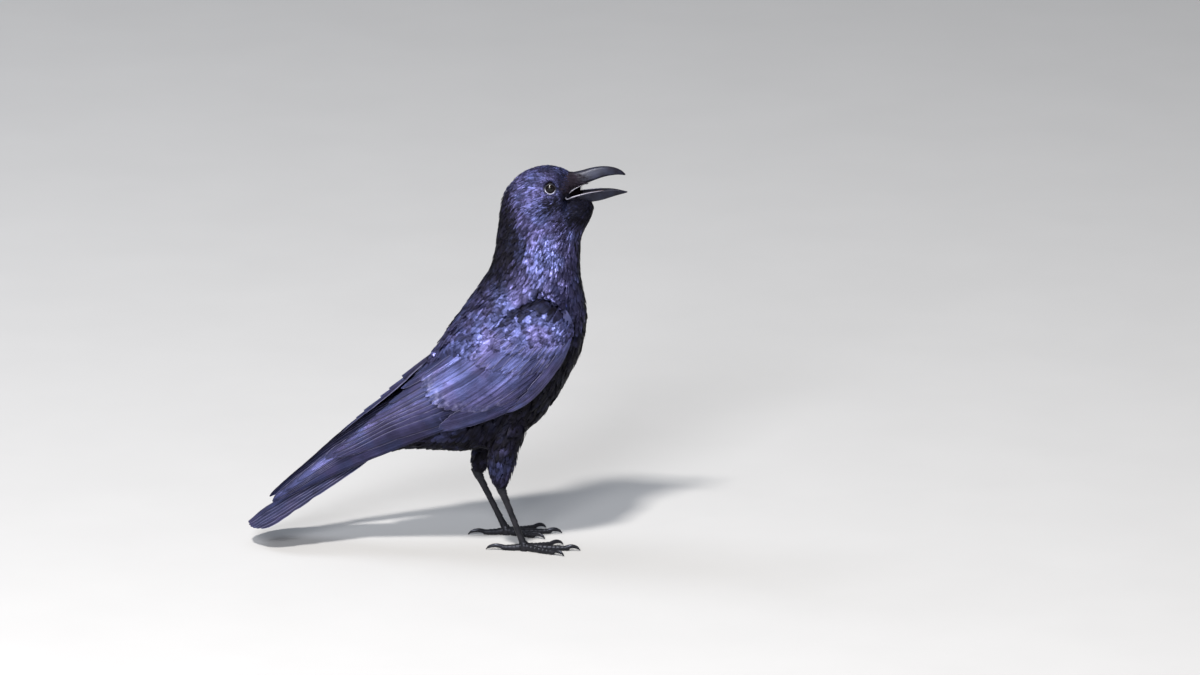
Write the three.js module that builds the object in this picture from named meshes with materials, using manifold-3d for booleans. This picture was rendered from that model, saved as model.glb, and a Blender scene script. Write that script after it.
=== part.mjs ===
// A carrion crow, life size, standing upright with its bill open.
// Millimetres: +X is the way the bird faces, +Y its left side, +Z up, and the floor is at Z = 0.
// Each named part is one closed solid out to the tips of its feathers, parted from its neighbours by a thin gap.

import * as THREE from 'three';
import { mergeVertices } from 'three/addons/utils/BufferGeometryUtils.js';
import Module from 'manifold-3d';

const wasm = await Module();
wasm.setup();

// Driving dimensions
const partGap = 0.3; // air between two parts that meet
const bodySides = 16; // facets round head, neck and trunk
const headFullness = 0.86; // 1 is an ellipse, and less is squarer
const neckFullness = 0.88;
const trunkFullness = 0.92;
const headEnd = 5.4; // section number where the head meets the neck
const neckEnd = 8.2; // section number where the neck meets the trunk
const cutStep = 0.03; // the thin cut between two parts, in section numbers

const eyeRadius = 6.3;
const eyePlace = { x: 100.3, y: 12.9, z: 334.5 };

// The open gape in side view: its corner, then the upper and the lower half of the bill
const gape = [
  [113.5, 324.2],
  [124.0, 334.5],
  [150.0, 341.5],
  [150.0, 330.5],
  [122.0, 325.2],
];
const gapeWidth = 60; // more than the face is wide

const stance = 27; // each foot's distance from the middle plane
const heelLevel = 57.5;
const footLevel = 4.6; // height of the toes' common root
const soleDepth = 0.6; // how much of the foot's root is cut flat by the floor
const toeLevel = 2.6; // height of a toe's middle line
const toeRadii = [3.4, 3.1, 2.8, 2.2];
const clawLength = 12.5;
const hindClawLength = 15.6;
const clawClearance = 0.4; // claw tips end just above the floor

const tailFeathers = 12;
const tailSlope = THREE.MathUtils.degToRad(33);
const tailTip = { x: -169.7, z: 19.4 };
const tailLength = 146; // from the rump to the tip
const tailHalfRoot = 18;
const tailHalfTip = 28.5;
const tailDroop = 9.5; // how far the outer tail feathers hang below the middle pair
const tailRounding = 17; // how much shorter the outermost tail feathers are than the middle pair
const tailTipRounding = 7; // how far a feather's corners fall short of its tip
const shingle = 0.5; // how far a feather dips under the next one

const primaryFeathers = 7;
const secondaryFeathers = 7;

// Sections of head, neck and trunk, from the bill's root to the rump: the point on the crown or back,
// the point on the throat or belly, and half the width. Lean widens the section towards its back.
const bodySections = [
  { back: [119.0, 345.6], belly: [139.5, 313.0], half: 10.5, lean: -0.1 }, // bill root
  { back: [110.0, 349.2], belly: [137.0, 304.0], half: 16.2, lean: -0.08 }, // lore
  { back: [99.0, 350.6], belly: [132.2, 294.5], half: 20.2, lean: -0.05 }, // eye
  { back: [84.5, 348.4], belly: [127.8, 284.0], half: 22.2, lean: -0.03 }, // ear
  { back: [69.5, 339.5], belly: [127.0, 271.0], half: 23.8, lean: 0 }, // back of the head
  { back: [58.5, 324.5], belly: [126.8, 257.0], half: 25.8, lean: 0 }, // nape
  { back: [55.5, 304.0], belly: [128.5, 243.0], half: 28.5, lean: 0 },
  { back: [52.0, 283.0], belly: [131.0, 229.0], half: 33.5, lean: 0 }, // root of the neck
  { back: [48.0, 260.0], belly: [132.8, 212.0], half: 39.0, lean: 0.05 }, // shoulders
  { back: [34.0, 237.0], belly: [131.0, 192.0], half: 44.0, lean: 0.08 }, // breast
  { back: [15.0, 209.0], belly: [124.0, 170.0], half: 46.0, lean: 0.1 },
  { back: [-2.0, 184.0], belly: [113.0, 150.0], half: 46.5, lean: 0.1 },
  { back: [-15.0, 165.0], belly: [98.0, 124.0], half: 45.5, lean: 0.1 }, // belly
  { back: [-26.0, 149.0], belly: [75.0, 104.0], half: 42.5, lean: 0.08 },
  { back: [-36.0, 135.0], belly: [42.0, 91.0], half: 37.0, lean: 0.05 },
  { back: [-46.0, 121.0], belly: [8.0, 89.5], half: 30.0, lean: 0 }, // vent
  { back: [-55.0, 110.0], belly: [-22.0, 92.0], half: 23.0, lean: 0 },
  { back: [-64.0, 102.0], belly: [-47.0, 86.0], half: 16.5, lean: 0 }, // root of the tail
];

// The bill: its ridge, its cutting edge and half its width, from inside the face to the tip
const upperBillSections = [
  { back: [112.0, 343.6], belly: [115.5, 328.4], half: 9.0, lean: -0.22 },
  { back: [119.5, 345.0], belly: [121.0, 331.5], half: 8.4, lean: -0.25 },
  { back: [128.0, 346.6], belly: [129.0, 335.4], half: 7.2, lean: -0.3 },
  { back: [137.5, 349.2], belly: [139.0, 339.2], half: 6.0, lean: -0.3 },
  { back: [147.5, 350.6], belly: [149.0, 342.4], half: 4.7, lean: -0.3 },
  { back: [157.0, 349.8], belly: [158.0, 343.6], half: 3.1, lean: -0.2 },
  { back: [164.0, 346.9], belly: [163.4, 343.4], half: 1.7, lean: 0 },
  { back: [168.0, 343.2], belly: [167.0, 342.6], half: 0.5, lean: 0 },
];
const lowerBillSections = [
  { back: [112.5, 321.8], belly: [116.0, 313.0], half: 8.5, lean: 0.2 },
  { back: [121.0, 324.2], belly: [123.5, 314.8], half: 7.9, lean: 0.25 },
  { back: [133.0, 327.0], belly: [134.5, 317.2], half: 6.6, lean: 0.25 },
  { back: [145.0, 328.9], belly: [146.5, 319.4], half: 5.0, lean: 0.25 },
  { back: [157.0, 329.2], belly: [158.5, 323.2], half: 3.2, lean: 0.15 },
  { back: [169.6, 327.2], belly: [169.2, 326.2], half: 0.6, lean: 0 },
];
const billWall = 1.3; // thickness of the horny edge beside the hollow of each half
const billHollowDepth = 0.42; // depth of that hollow, as a share of the half's height

// The folded wing's outer surface from wrist to tip: its upper edge, its widest line and its lower edge
const wingUpperEdge = [
  [113, 33, 233],
  [90, 31, 245],
  [55, 27, 231],
  [17, 22, 196],
  [-22, 14, 164],
  [-58, 14, 130],
  [-92, 10, 101],
  [-124, 9, 72.5],
  [-155, 9, 45],
];
const wingWidestLine = [
  [122, 42, 221],
  [103, 50, 215],
  [70, 56, 193],
  [33, 57, 166],
  [-7, 50, 144],
  [-50, 36, 122],
  [-93, 25, 93],
  [-126, 18, 66],
  [-159, 13, 40],
];
const wingLowerEdge = [
  [124, 41, 205],
  [110, 44, 177],
  [81, 46, 143],
  [46, 47, 126],
  [4, 45, 113],
  [-45, 37, 94],
  [-92, 27, 72],
  [-125, 19.5, 53.5],
  [-152, 16, 38],
];
const covertsEnd = 0.485; // where along the wing the coverts stop
const covertScallop = 0.012; // how far the tips of the coverts stand out, as a share of the wing
const covertSlant = 0.02; // how much further back the coverts reach at the lower edge than in the middle
const covertThickness = 13;
const featherThickness = 1.6;
const secondaryDepth = 0.9; // how deep the flight feathers lie under the wing's outer surface
const primaryDepth = 5.6;
const roomAlong = 0.006; // how far a millimetre of room moves the ends of a fan, as a share of the wing
const roomDown = 0.03; // and how far it moves its two edges

const plumage = new THREE.Color(0x15141c);
const horn = new THREE.Color(0x23242b);

// ---------- helpers ----------

const mix = THREE.MathUtils.lerp;
const clamp = THREE.MathUtils.clamp;

function signedVolume(geometry) {
  const position = geometry.attributes.position;
  const index = geometry.index;
  const corners = [new THREE.Vector3(), new THREE.Vector3(), new THREE.Vector3()];
  let volume = 0;
  for (let i = 0; i < index.count; i += 3) {
    corners.forEach((corner, k) => corner.fromBufferAttribute(position, index.getX(i + k)));
    volume += corners[0].dot(corners[1].cross(corners[2])) / 6;
  }
  return volume;
}

// Merges a geometry's vertices into one closed mesh whose faces point outwards
function closeMesh(geometry) {
  geometry.deleteAttribute('normal');
  geometry.deleteAttribute('uv');
  const merged = mergeVertices(geometry, 1e-4);
  if (signedVolume(merged) < 0) {
    const index = merged.index.array;
    for (let i = 0; i < index.length; i += 3) {
      [index[i], index[i + 1]] = [index[i + 1], index[i]];
    }
  }
  return merged;
}

// A closed rod: place(along, across, up) maps the unit rod, along 0..1, onto the part
function shapeRod(sides, steps, place) {
  const geometry = new THREE.CylinderGeometry(1, 1, 1, sides, steps);
  const position = geometry.attributes.position;
  for (let i = 0; i < position.count; i++) {
    const point = place(position.getY(i) + 0.5, position.getX(i), position.getZ(i));
    position.setXYZ(i, point.x, point.y, point.z);
  }
  return closeMesh(geometry);
}

// A closed plate: place(column, row, face) gets whole-number grid places, and face 1 outside or 0 inside
function shapePlate(columns, rows, place) {
  const geometry = new THREE.BoxGeometry(1, 1, 1, columns, rows, 1);
  const position = geometry.attributes.position;
  for (let i = 0; i < position.count; i++) {
    const column = Math.round((position.getX(i) + 0.5) * columns);
    const row = Math.round((position.getY(i) + 0.5) * rows);
    const point = place(column, row, position.getZ(i) > 0 ? 1 : 0);
    position.setXYZ(i, point.x, point.y, point.z);
  }
  return closeMesh(geometry);
}

function toSolid(geometry) {
  const vertProperties = new Float32Array(geometry.attributes.position.array);
  const triVerts = new Uint32Array(geometry.index.array);
  return new wasm.Manifold(new wasm.Mesh({ numProp: 3, vertProperties, triVerts }));
}

function toGeometry(solid) {
  const mesh = solid.getMesh();
  const geometry = new THREE.BufferGeometry();
  geometry.setAttribute('position', new THREE.BufferAttribute(mesh.vertProperties, 3));
  geometry.setIndex(new THREE.BufferAttribute(mesh.triVerts, 1));
  return geometry;
}

// Cuts the given geometries out of the first and keeps the largest piece that is left
function carve(geometry, cutters) {
  let solid = toSolid(geometry);
  for (const cutter of cutters) {
    solid = solid.subtract(toSolid(cutter));
  }
  const pieces = solid.decompose();
  pieces.sort((a, b) => b.volume() - a.volume());
  return toGeometry(pieces[0]);
}

function curveOf(points) {
  return new THREE.CatmullRomCurve3(points.map((p) => new THREE.Vector3(p[0], p[1], p[2])));
}

// Turns a list of sections into functions of a section number, which may fall between two sections
function sectionCurves(sections) {
  const last = sections.length - 1;
  const back = curveOf(sections.map((s) => [s.back[0], 0, s.back[1]]));
  const belly = curveOf(sections.map((s) => [s.belly[0], 0, s.belly[1]]));
  const breadth = curveOf(sections.map((s) => [s.half, s.lean, 0]));
  return (number) => {
    const t = clamp(number / last, 0, 1);
    const { x: half, y: lean } = breadth.getPoint(t);
    return { back: back.getPoint(t), belly: belly.getPoint(t), half, lean };
  };
}

// The solid between two section numbers; square is 1 for an ellipse and less for a fuller shape
function sectionSolid(sections, from, to, { sides, steps, square, grow = 0 }) {
  const sectionAt = sectionCurves(sections);
  return shapeRod(sides, steps, (along, across, up) => {
    const { back, belly, half, lean } = sectionAt(mix(from, to, along));
    const middle = back.clone().add(belly).multiplyScalar(0.5);
    const axis = back.clone().sub(belly).normalize();
    const reach = back.distanceTo(belly) / 2 + grow;
    const wide = Math.sign(across) * Math.abs(across) ** square;
    const high = Math.sign(up) * Math.abs(up) ** square;
    const point = middle.addScaledVector(axis, reach * high);
    point.y = (half + grow) * wide * (1 + lean * high);
    return point;
  });
}

// A limb along a curve: radii [fore and aft, sideways] at each of its points, never below the floor
function limb(points, radii, { sides, steps, grow = 0, knuckles = 0, floor = 0, heading = 0 }) {
  const path = curveOf(points);
  const sizes = curveOf(radii.map(([fore, side]) => [fore, side, 0]));
  const fore = new THREE.Vector3();
  return shapeRod(sides, steps, (along, across, up) => {
    const tangent = path.getTangent(along);
    const sideways = new THREE.Vector3(-Math.sin(heading), Math.cos(heading), 0);
    sideways.addScaledVector(tangent, -sideways.dot(tangent)).normalize();
    fore.crossVectors(tangent, sideways).normalize();
    const size = sizes.getPoint(along);
    const swell = 1 + 0.1 * Math.cos(along * knuckles * 2 * Math.PI) * (knuckles > 0);
    const point = path.getPoint(along);
    point.addScaledVector(fore, (size.x * swell + grow) * up);
    point.addScaledVector(sideways, (size.y * swell + grow) * across);
    point.z = Math.max(point.z, floor);
    return point;
  });
}

const crow = new THREE.Group();

function addPart(name, geometry, color, roughness) {
  const material = new THREE.MeshStandardMaterial({ color, roughness, metalness: 0 });
  const mesh = new THREE.Mesh(geometry, material);
  mesh.name = name;
  crow.add(mesh);
}

const sideNames = { left: 1, right: -1 };

// ---------- bill, tongue and eyes ----------

const billShape = { sides: 10, steps: 8, square: 0.8 };
const hollowShape = { sides: 8, steps: 5, square: 0.9 };
const hollowStart = 0.35; // section number, just inside the root of the bill
const hollowStop = 1.2; // sections left solid at the tip

// The hollow on the inner side of a half of the bill, from just inside its root to near its tip
function billHollow(sections, innerEdge, outerEdge) {
  const hollow = sections.map((section) => {
    const half = Math.max(section.half - billWall, 0.25);
    const shifted = (share) => section[innerEdge].map((value, i) => mix(value, section[outerEdge][i], share));
    return { [innerEdge]: shifted(-billHollowDepth), [outerEdge]: shifted(billHollowDepth), half, lean: 0 };
  });
  return sectionSolid(hollow, hollowStart, sections.length - 1 - hollowStop, hollowShape);
}

const lastUpper = upperBillSections.length - 1;
const lastLower = lowerBillSections.length - 1;
const upperBill = sectionSolid(upperBillSections, 0, lastUpper, billShape);
const lowerBill = sectionSolid(lowerBillSections, 0, lastLower, billShape);
const upperBillRoom = sectionSolid(upperBillSections, 0, lastUpper, { ...billShape, grow: partGap });
const lowerBillRoom = sectionSolid(lowerBillSections, 0, lastLower, { ...billShape, grow: partGap });
addPart('bill_upper', carve(upperBill, [billHollow(upperBillSections, 'belly', 'back')]), horn, 0.35);
addPart('bill_lower', carve(lowerBill, [billHollow(lowerBillSections, 'back', 'belly')]), horn, 0.35);

// The tongue lies in the lower half's hollow
const tonguePath = [
  [119, 0, 322.6],
  [128, 0, 324.6],
  [138, 0, 326.6],
  [147, 0, 328.2],
];
const tongueRadii = [
  [1.2, 4.4],
  [1.2, 3.8],
  [1.0, 2.6],
  [0.5, 0.8],
];
addPart('tongue', limb(tonguePath, tongueRadii, { sides: 8, steps: 6 }), new THREE.Color(0x6b4a50), 0.5);

function eyeball(side, radius) {
  const geometry = new THREE.SphereGeometry(radius, 12, 8);
  geometry.rotateX(Math.PI / 2);
  geometry.translate(eyePlace.x, side * eyePlace.y, eyePlace.z);
  return closeMesh(geometry);
}

for (const [sideName, side] of Object.entries(sideNames)) {
  addPart(`eye_${sideName}`, eyeball(side, eyeRadius), new THREE.Color(0x0c0a0a), 0.08);
}

// ---------- head, neck and trunk ----------

// The open gape, a wedge right across the face between the two halves of the bill
function gapeWedge() {
  const outline = new THREE.Shape(gape.map(([x, z]) => new THREE.Vector2(x, z)));
  const geometry = new THREE.ExtrudeGeometry(outline, { depth: gapeWidth, bevelEnabled: false });
  geometry.rotateX(Math.PI / 2);
  geometry.translate(0, gapeWidth / 2, 0);
  return closeMesh(geometry);
}

const rump = bodySections.length - 1;
const headShape = { sides: bodySides, steps: 8, square: headFullness };
const neckShape = { sides: bodySides, steps: 4, square: neckFullness };
const trunkShape = { sides: bodySides, steps: 11, square: trunkFullness };
const head = sectionSolid(bodySections, 0, headEnd, headShape);
const neck = sectionSolid(bodySections, headEnd + cutStep, neckEnd, neckShape);
const neckRoom = sectionSolid(bodySections, headEnd + cutStep, neckEnd, { ...neckShape, grow: partGap });
const trunk = sectionSolid(bodySections, neckEnd + cutStep, rump, trunkShape);
const trunkRoom = sectionSolid(bodySections, neckEnd + cutStep, rump, { ...trunkShape, grow: partGap });
const headCuts = [
  upperBillRoom,
  lowerBillRoom,
  gapeWedge(),
  eyeball(1, eyeRadius + partGap),
  eyeball(-1, eyeRadius + partGap),
];
addPart('head', carve(head, headCuts), plumage, 0.5);
addPart('neck', neck, plumage, 0.5);

// ---------- tail ----------

// Columns of a fan of feathers: three to each feather, its two edges and its shaft
function featherColumn(column) {
  const feather = Math.floor(column / 3);
  const within = [0.03, 0.5, 0.97][column % 3];
  return { feather, within, across: feather + within };
}

const tailRows = 4;

function tailPoint(column, row, face, grow) {
  const { feather, within, across } = featherColumn(column);
  const sideways = (2 * across) / tailFeathers - 1;
  const pair = Math.abs(feather + 0.5 - tailFeathers / 2) / (tailFeathers / 2);
  const length = tailLength - tailRounding * pair ** 2 - tailTipRounding * (2 * within - 1) ** 2;
  const along = (length * row) / tailRows;
  const spread = along / tailLength;
  const half = mix(tailHalfRoot, tailHalfTip, Math.sin(Math.min(spread * 1.15, 1) * Math.PI / 2));
  const closing = 1 - 0.16 * clamp((spread - 0.7) / 0.3, 0, 1) ** 2;
  const thickness = mix(3.2, 1.3, spread) + 2 * grow;
  const lift = shingle * (feather < tailFeathers / 2 ? within : 1 - within);
  const droop = tailDroop * Math.abs(sideways) ** 1.5 * mix(0.75, 1, spread);
  const fromTip = tailLength - along;
  return new THREE.Vector3(
    tailTip.x + fromTip * Math.cos(tailSlope),
    sideways * (half * closing + grow),
    tailTip.z + fromTip * Math.sin(tailSlope) - droop + lift + (face - 0.5) * thickness
  );
}

function tailFan(grow) {
  return shapePlate(3 * tailFeathers - 1, tailRows, (column, row, face) => tailPoint(column, row, face, grow));
}

addPart('tail', carve(tailFan(0), [trunkRoom]), plumage, 0.45);

// ---------- wings ----------

const upperEdge = curveOf(wingUpperEdge);
const widestLine = curveOf(wingWidestLine);
const lowerEdge = curveOf(wingLowerEdge);

// A point on a folded wing: along runs from wrist to tip, down from the upper edge to the lower, both 0 to 1
function wingSurface(along, down) {
  const t = clamp(along, 0, 1);
  const top = upperEdge.getPoint(t);
  const wide = widestLine.getPoint(t);
  const low = lowerEdge.getPoint(t);
  const control = wide.multiplyScalar(2).addScaledVector(top, -0.5).addScaledVector(low, -0.5);
  const point = top.multiplyScalar((1 - down) ** 2);
  point.addScaledVector(control, 2 * down * (1 - down));
  return point.addScaledVector(low, down ** 2);
}

function wingPoint(side, along, down, depth) {
  const step = 0.01;
  const point = wingSurface(along, down);
  const alongStep = wingSurface(along + step, down).sub(wingSurface(along - step, down));
  const downStep = wingSurface(along, down + step).sub(wingSurface(along, down - step));
  const inward = alongStep.cross(downStep).normalize();
  point.addScaledVector(inward, depth);
  point.y *= side;
  return point;
}

// The coverts: a thick pad over wrist and forearm, with a scalloped hind edge
const covertColumns = 7;
const covertRows = 9;

function coverts(side, grow) {
  return shapePlate(covertColumns, covertRows, (column, row, face) => {
    const down = row / covertRows;
    const scallop = covertScallop * Math.abs(Math.sin((down * covertRows * Math.PI) / 2));
    const along = (column / covertColumns) * (covertsEnd + scallop - covertSlant * Math.cos(down * Math.PI));
    const rim = Math.min(1, 6 * along + 0.15) * Math.min(1, 3.2 * Math.sin(Math.PI * clamp(down, 0.04, 0.96)));
    const thin = mix(1, 0.3, clamp((along - 0.3) / 0.2, 0, 1));
    const depth = face ? -grow : covertThickness * rim * thin + grow;
    return wingPoint(side, along, down, depth);
  });
}

// -1 at the first place of a row, 1 at the last, and 0 between them
function endSign(place, last) {
  return (place === last) - (place === 0);
}

// A fan of flight feathers over the wing's surface, each from its root to its own tip
function featherFan(side, count, rows, depth, reachOf, grow) {
  return shapePlate(3 * count - 1, rows, (column, row, face) => {
    const { feather, within, across } = featherColumn(column);
    const { root, tip, downRoot, downTip } = reachOf(feather, within, across / count);
    const share = row / rows;
    const along = mix(root, tip, share) + endSign(row, rows) * grow * roomAlong;
    const down = mix(downRoot, downTip, share) + endSign(column, 3 * count - 1) * grow * roomDown;
    const thickness = featherThickness * mix(1.6, 0.8, share);
    return wingPoint(side, along, down, depth + shingle * within + (face ? -grow : thickness + grow));
  });
}

// Secondaries and tertials, counted from the innermost, on the upper side of the wing
function secondaryReach(feather, within, across) {
  const rounding = 0.02 * (2 * within - 1) ** 2;
  const innermost = feather === 0;
  const tip = (innermost ? 0.62 : 0.66 + 0.028 * feather - 0.0035 * feather ** 2) - rounding;
  return { root: 0.42, tip, downRoot: mix(0.02, 0.93, across), downTip: mix(0.02, 0.9, across) };
}

// Primaries, counted from the innermost and shortest to the longest, then the outer two a little shorter
function primaryReach(feather, within, across) {
  const rounding = 0.018 * (2 * within - 1) ** 2;
  const lengths = Math.min(0.8 + 0.036 * feather, 1 - 0.02 * Math.max(feather - 5.5, 0));
  return { root: 0.5, tip: lengths - rounding, downRoot: mix(0.35, 1, across), downTip: mix(0.02, 1, across) };
}

for (const [sideName, side] of Object.entries(sideNames)) {
  const secondaries = (grow) => featherFan(side, secondaryFeathers, 4, secondaryDepth, secondaryReach, grow);
  const primaries = (grow) => featherFan(side, primaryFeathers, 5, primaryDepth, primaryReach, grow);
  const covertCuts = [trunkRoom, neckRoom, secondaries(partGap)];
  const primaryCuts = [trunkRoom, tailFan(partGap), secondaries(partGap), coverts(side, partGap)];
  addPart(`wing_${sideName}_coverts`, carve(coverts(side, 0), covertCuts), plumage, 0.45);
  addPart(`wing_${sideName}_secondaries`, carve(secondaries(0), [trunkRoom]), plumage, 0.4);
  addPart(`wing_${sideName}_primaries`, carve(primaries(0), primaryCuts), plumage, 0.4);
}

// ---------- legs ----------

// The two legs stand a little apart: the joints of each, and how far forward its heel and foot are
const legs = {
  left: { hip: [58, 17, 136], knee: [56, 23, 114], shin: [46.5, 27, 91], calf: [39.5, 27.5, 73], heel: 34.5, foot: 60 },
  right: { hip: [60, -17, 136], knee: [61, -23, 114], shin: [57.5, -27, 92], calf: [55.5, -27.5, 73], heel: 56, foot: 76.5 },
};

// Fore-and-aft and sideways radii, from hip to heel and from heel to sole
const thighRadii = [
  [15, 12],
  [18, 14.5],
  [11.5, 10.5],
  [11, 9],
  [5.0, 4.8],
];
const shankRadii = [
  [4.0, 3.4],
  [3.5, 2.9],
  [2.9, 2.3],
  [3.2, 2.8],
  [4.3, 4.3],
  [3.9, 3.9],
];
const clawRadii = [
  [2.1, 1.5],
  [1.8, 1.3],
  [1.2, 0.9],
  [0.35, 0.3],
];

// Toes: heading in degrees from straight ahead towards the outside, length to the claw, and knuckles
const toes = {
  inner: { heading: -27, reach: 27, knuckles: 2, claw: clawLength },
  middle: { heading: 2, reach: 38, knuckles: 3, claw: clawLength },
  outer: { heading: 30, reach: 29, knuckles: 3, claw: clawLength },
  hind: { heading: 184, reach: 19, knuckles: 1, claw: hindClawLength },
};

function toeHeading(toe, side) {
  return THREE.MathUtils.degToRad(toe.heading) * side;
}

function alongToe(leg, side, toe, distance, height) {
  const heading = toeHeading(toe, side);
  return [leg.foot + distance * Math.cos(heading), side * stance + distance * Math.sin(heading), height];
}

function toeSolid(leg, side, toe, grow) {
  const points = [
    alongToe(leg, side, toe, 1, footLevel),
    alongToe(leg, side, toe, toe.reach * 0.35, toeLevel * 1.15),
    alongToe(leg, side, toe, toe.reach * 0.7, toeLevel),
    alongToe(leg, side, toe, toe.reach, toeLevel),
  ];
  const radii = toeRadii.map((radius) => [radius, radius * 0.92]);
  return limb(points, radii, { sides: 7, steps: 6, grow, knuckles: toe.knuckles, heading: toeHeading(toe, side) });
}

function clawSolid(leg, side, toe) {
  const points = [
    alongToe(leg, side, toe, toe.reach + 0.7, 2.9),
    alongToe(leg, side, toe, toe.reach + toe.claw * 0.4, 4.0),
    alongToe(leg, side, toe, toe.reach + toe.claw * 0.75, 2.9),
    alongToe(leg, side, toe, toe.reach + toe.claw, 0.75),
  ];
  return limb(points, clawRadii, { sides: 5, steps: 3, floor: clawClearance, heading: toeHeading(toe, side) });
}

// A point on the straight line from heel to foot
function alongShank(leg, side, share) {
  return [mix(leg.heel, leg.foot, share), side * stance, mix(heelLevel, footLevel, share)];
}

function thighSolid(leg, side, grow) {
  const points = [leg.hip, leg.knee, leg.shin, leg.calf, alongShank(leg, side, -0.05)];
  return limb(points, thighRadii, { sides: 10, steps: 7, grow });
}

function shankSolid(leg, side, grow) {
  const points = [-0.03, 0.12, 0.5, 0.88, 1].map((share) => alongShank(leg, side, share));
  points.push([leg.foot, side * stance, -soleDepth]);
  return limb(points, shankRadii, { sides: 9, steps: 8, grow });
}

for (const [sideName, side] of Object.entries(sideNames)) {
  const leg = legs[sideName];
  const shankRoom = shankSolid(leg, side, partGap);
  addPart(`thigh_${sideName}`, carve(thighSolid(leg, side, 0), [shankRoom]), plumage, 0.55);
  addPart(`shank_${sideName}`, shankSolid(leg, side, 0), horn, 0.45);
  for (const [toeName, toe] of Object.entries(toes)) {
    const besideMiddle = toeName === 'inner' || toeName === 'outer';
    const cuts = besideMiddle ? [shankRoom, toeSolid(leg, side, toes.middle, partGap)] : [shankRoom];
    addPart(`toe_${sideName}_${toeName}`, carve(toeSolid(leg, side, toe, 0), cuts), horn, 0.45);
    addPart(`claw_${sideName}_${toeName}`, clawSolid(leg, side, toe), horn, 0.3);
  }
}

const thighRooms = [thighSolid(legs.left, 1, partGap), thighSolid(legs.right, -1, partGap)];
addPart('trunk', carve(trunk, thighRooms), plumage, 0.5);

export default crow;
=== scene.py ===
import itertools
import math

import bmesh
import bpy
import numpy as np
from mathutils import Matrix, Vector
from mathutils.bvhtree import BVHTree
from mathutils.kdtree import KDTree


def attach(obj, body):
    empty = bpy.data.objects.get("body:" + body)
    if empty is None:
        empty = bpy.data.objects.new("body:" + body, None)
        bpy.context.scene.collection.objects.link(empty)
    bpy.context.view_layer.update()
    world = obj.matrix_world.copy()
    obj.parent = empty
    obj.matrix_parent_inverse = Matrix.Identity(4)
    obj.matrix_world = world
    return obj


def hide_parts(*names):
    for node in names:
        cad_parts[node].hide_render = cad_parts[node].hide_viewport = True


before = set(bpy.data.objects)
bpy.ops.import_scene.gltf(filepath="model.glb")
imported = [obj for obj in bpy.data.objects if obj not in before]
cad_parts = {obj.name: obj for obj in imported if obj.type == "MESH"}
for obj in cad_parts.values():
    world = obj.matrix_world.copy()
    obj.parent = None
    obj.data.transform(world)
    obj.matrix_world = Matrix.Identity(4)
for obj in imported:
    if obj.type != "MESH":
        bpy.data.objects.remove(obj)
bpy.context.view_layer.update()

mm = 0.001  # every length in the dictionaries below is in millimetres
sides = {"left": 1, "right": -1}
rng = np.random.default_rng(11)

# Node and object helpers


def addNode(tree, kind, inputs=None, **settings):
    # a value in inputs is either a socket to link from or a plain value
    node = tree.nodes.new(kind)
    for name, value in settings.items():
        setattr(node, name, value)
    for socket, value in (inputs or {}).items():
        if isinstance(value, bpy.types.NodeSocket):
            tree.links.new(value, node.inputs[socket])
        else:
            node.inputs[socket].default_value = value
    return node


def mathNode(tree, operation, first, second=0.0, clamp=False):
    node = addNode(tree, "ShaderNodeMath", {0: first, 1: second}, operation=operation, use_clamp=clamp)
    return node.outputs[0]


def times(tree, *values):
    product = values[0]
    for value in values[1:]:
        product = mathNode(tree, "MULTIPLY", product, value)
    return product


def plus(tree, first, second):
    return mathNode(tree, "ADD", first, second)


def oneMinus(tree, value):
    return mathNode(tree, "SUBTRACT", 1.0, value)


def vectorNode(tree, operation, first, second=None, scale=None):
    inputs = {0: first}
    if second is not None:
        inputs[1] = second
    if scale is not None:
        inputs["Scale"] = scale
    return addNode(tree, "ShaderNodeVectorMath", inputs, operation=operation).outputs["Vector"]


def attributeNode(tree, name, output="Fac"):
    return addNode(tree, "ShaderNodeAttribute", attribute_name=name).outputs[output]


def feed(shader, **values):
    # links each value to the socket of that name, written without its spaces
    sockets = {socket.name.replace(" ", ""): socket for socket in shader.inputs}
    for name, value in values.items():
        shader.id_data.links.new(value, sockets[name])


def linkObject(thing):
    bpy.context.scene.collection.objects.link(thing)
    return thing


def meshObject(name, points, faces, material=None):
    mesh = bpy.data.meshes.new(name)
    mesh.from_pydata(np.asarray(points, float).tolist(), [], faces, shade_flat=False)
    if material:
        mesh.materials.append(material)
    return linkObject(bpy.data.objects.new(name, mesh))


def storeAttribute(mesh, name, values):
    # one number or one vector for each vertex
    values = np.ascontiguousarray(values, np.float32)
    kind, field = ("FLOAT", "value") if values.ndim == 1 else ("FLOAT_VECTOR", "vector")
    attribute = mesh.attributes.new(name, kind, "POINT")
    attribute.data.foreach_set(field, values.ravel())


def markSharp(mesh, edges):
    mesh.attributes.new("sharp_edge", "BOOLEAN", "EDGE").data.foreach_set("value", edges)


def moveVertices(mesh, places):
    mesh.vertices.foreach_set("co", places.astype(np.float32).ravel())
    mesh.update()


def bakedMesh(thing, name):
    # the evaluated object as a plain mesh object, in place of the first
    mesh = bpy.data.meshes.new_from_object(thing.evaluated_get(bpy.context.evaluated_depsgraph_get()))
    mesh.name = name
    bpy.data.objects.remove(thing)
    return linkObject(bpy.data.objects.new(name, mesh))


def surfaceTree(thing):
    return BVHTree.FromObject(thing, bpy.context.evaluated_depsgraph_get())


def readValues(items, field, width=1, kind=np.float32):
    # a field of every item of a mesh, one row of the given width for each
    values = np.empty(len(items) * width, kind)
    items.foreach_get(field, values)
    return values.reshape(-1, width) if width > 1 else values


def vertexPlaces(mesh):
    return readValues(mesh.vertices, "co", 3).astype(float)


def vertexNormals(mesh):
    return readValues(mesh.vertex_normals, "vector", 3).astype(float)


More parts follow.
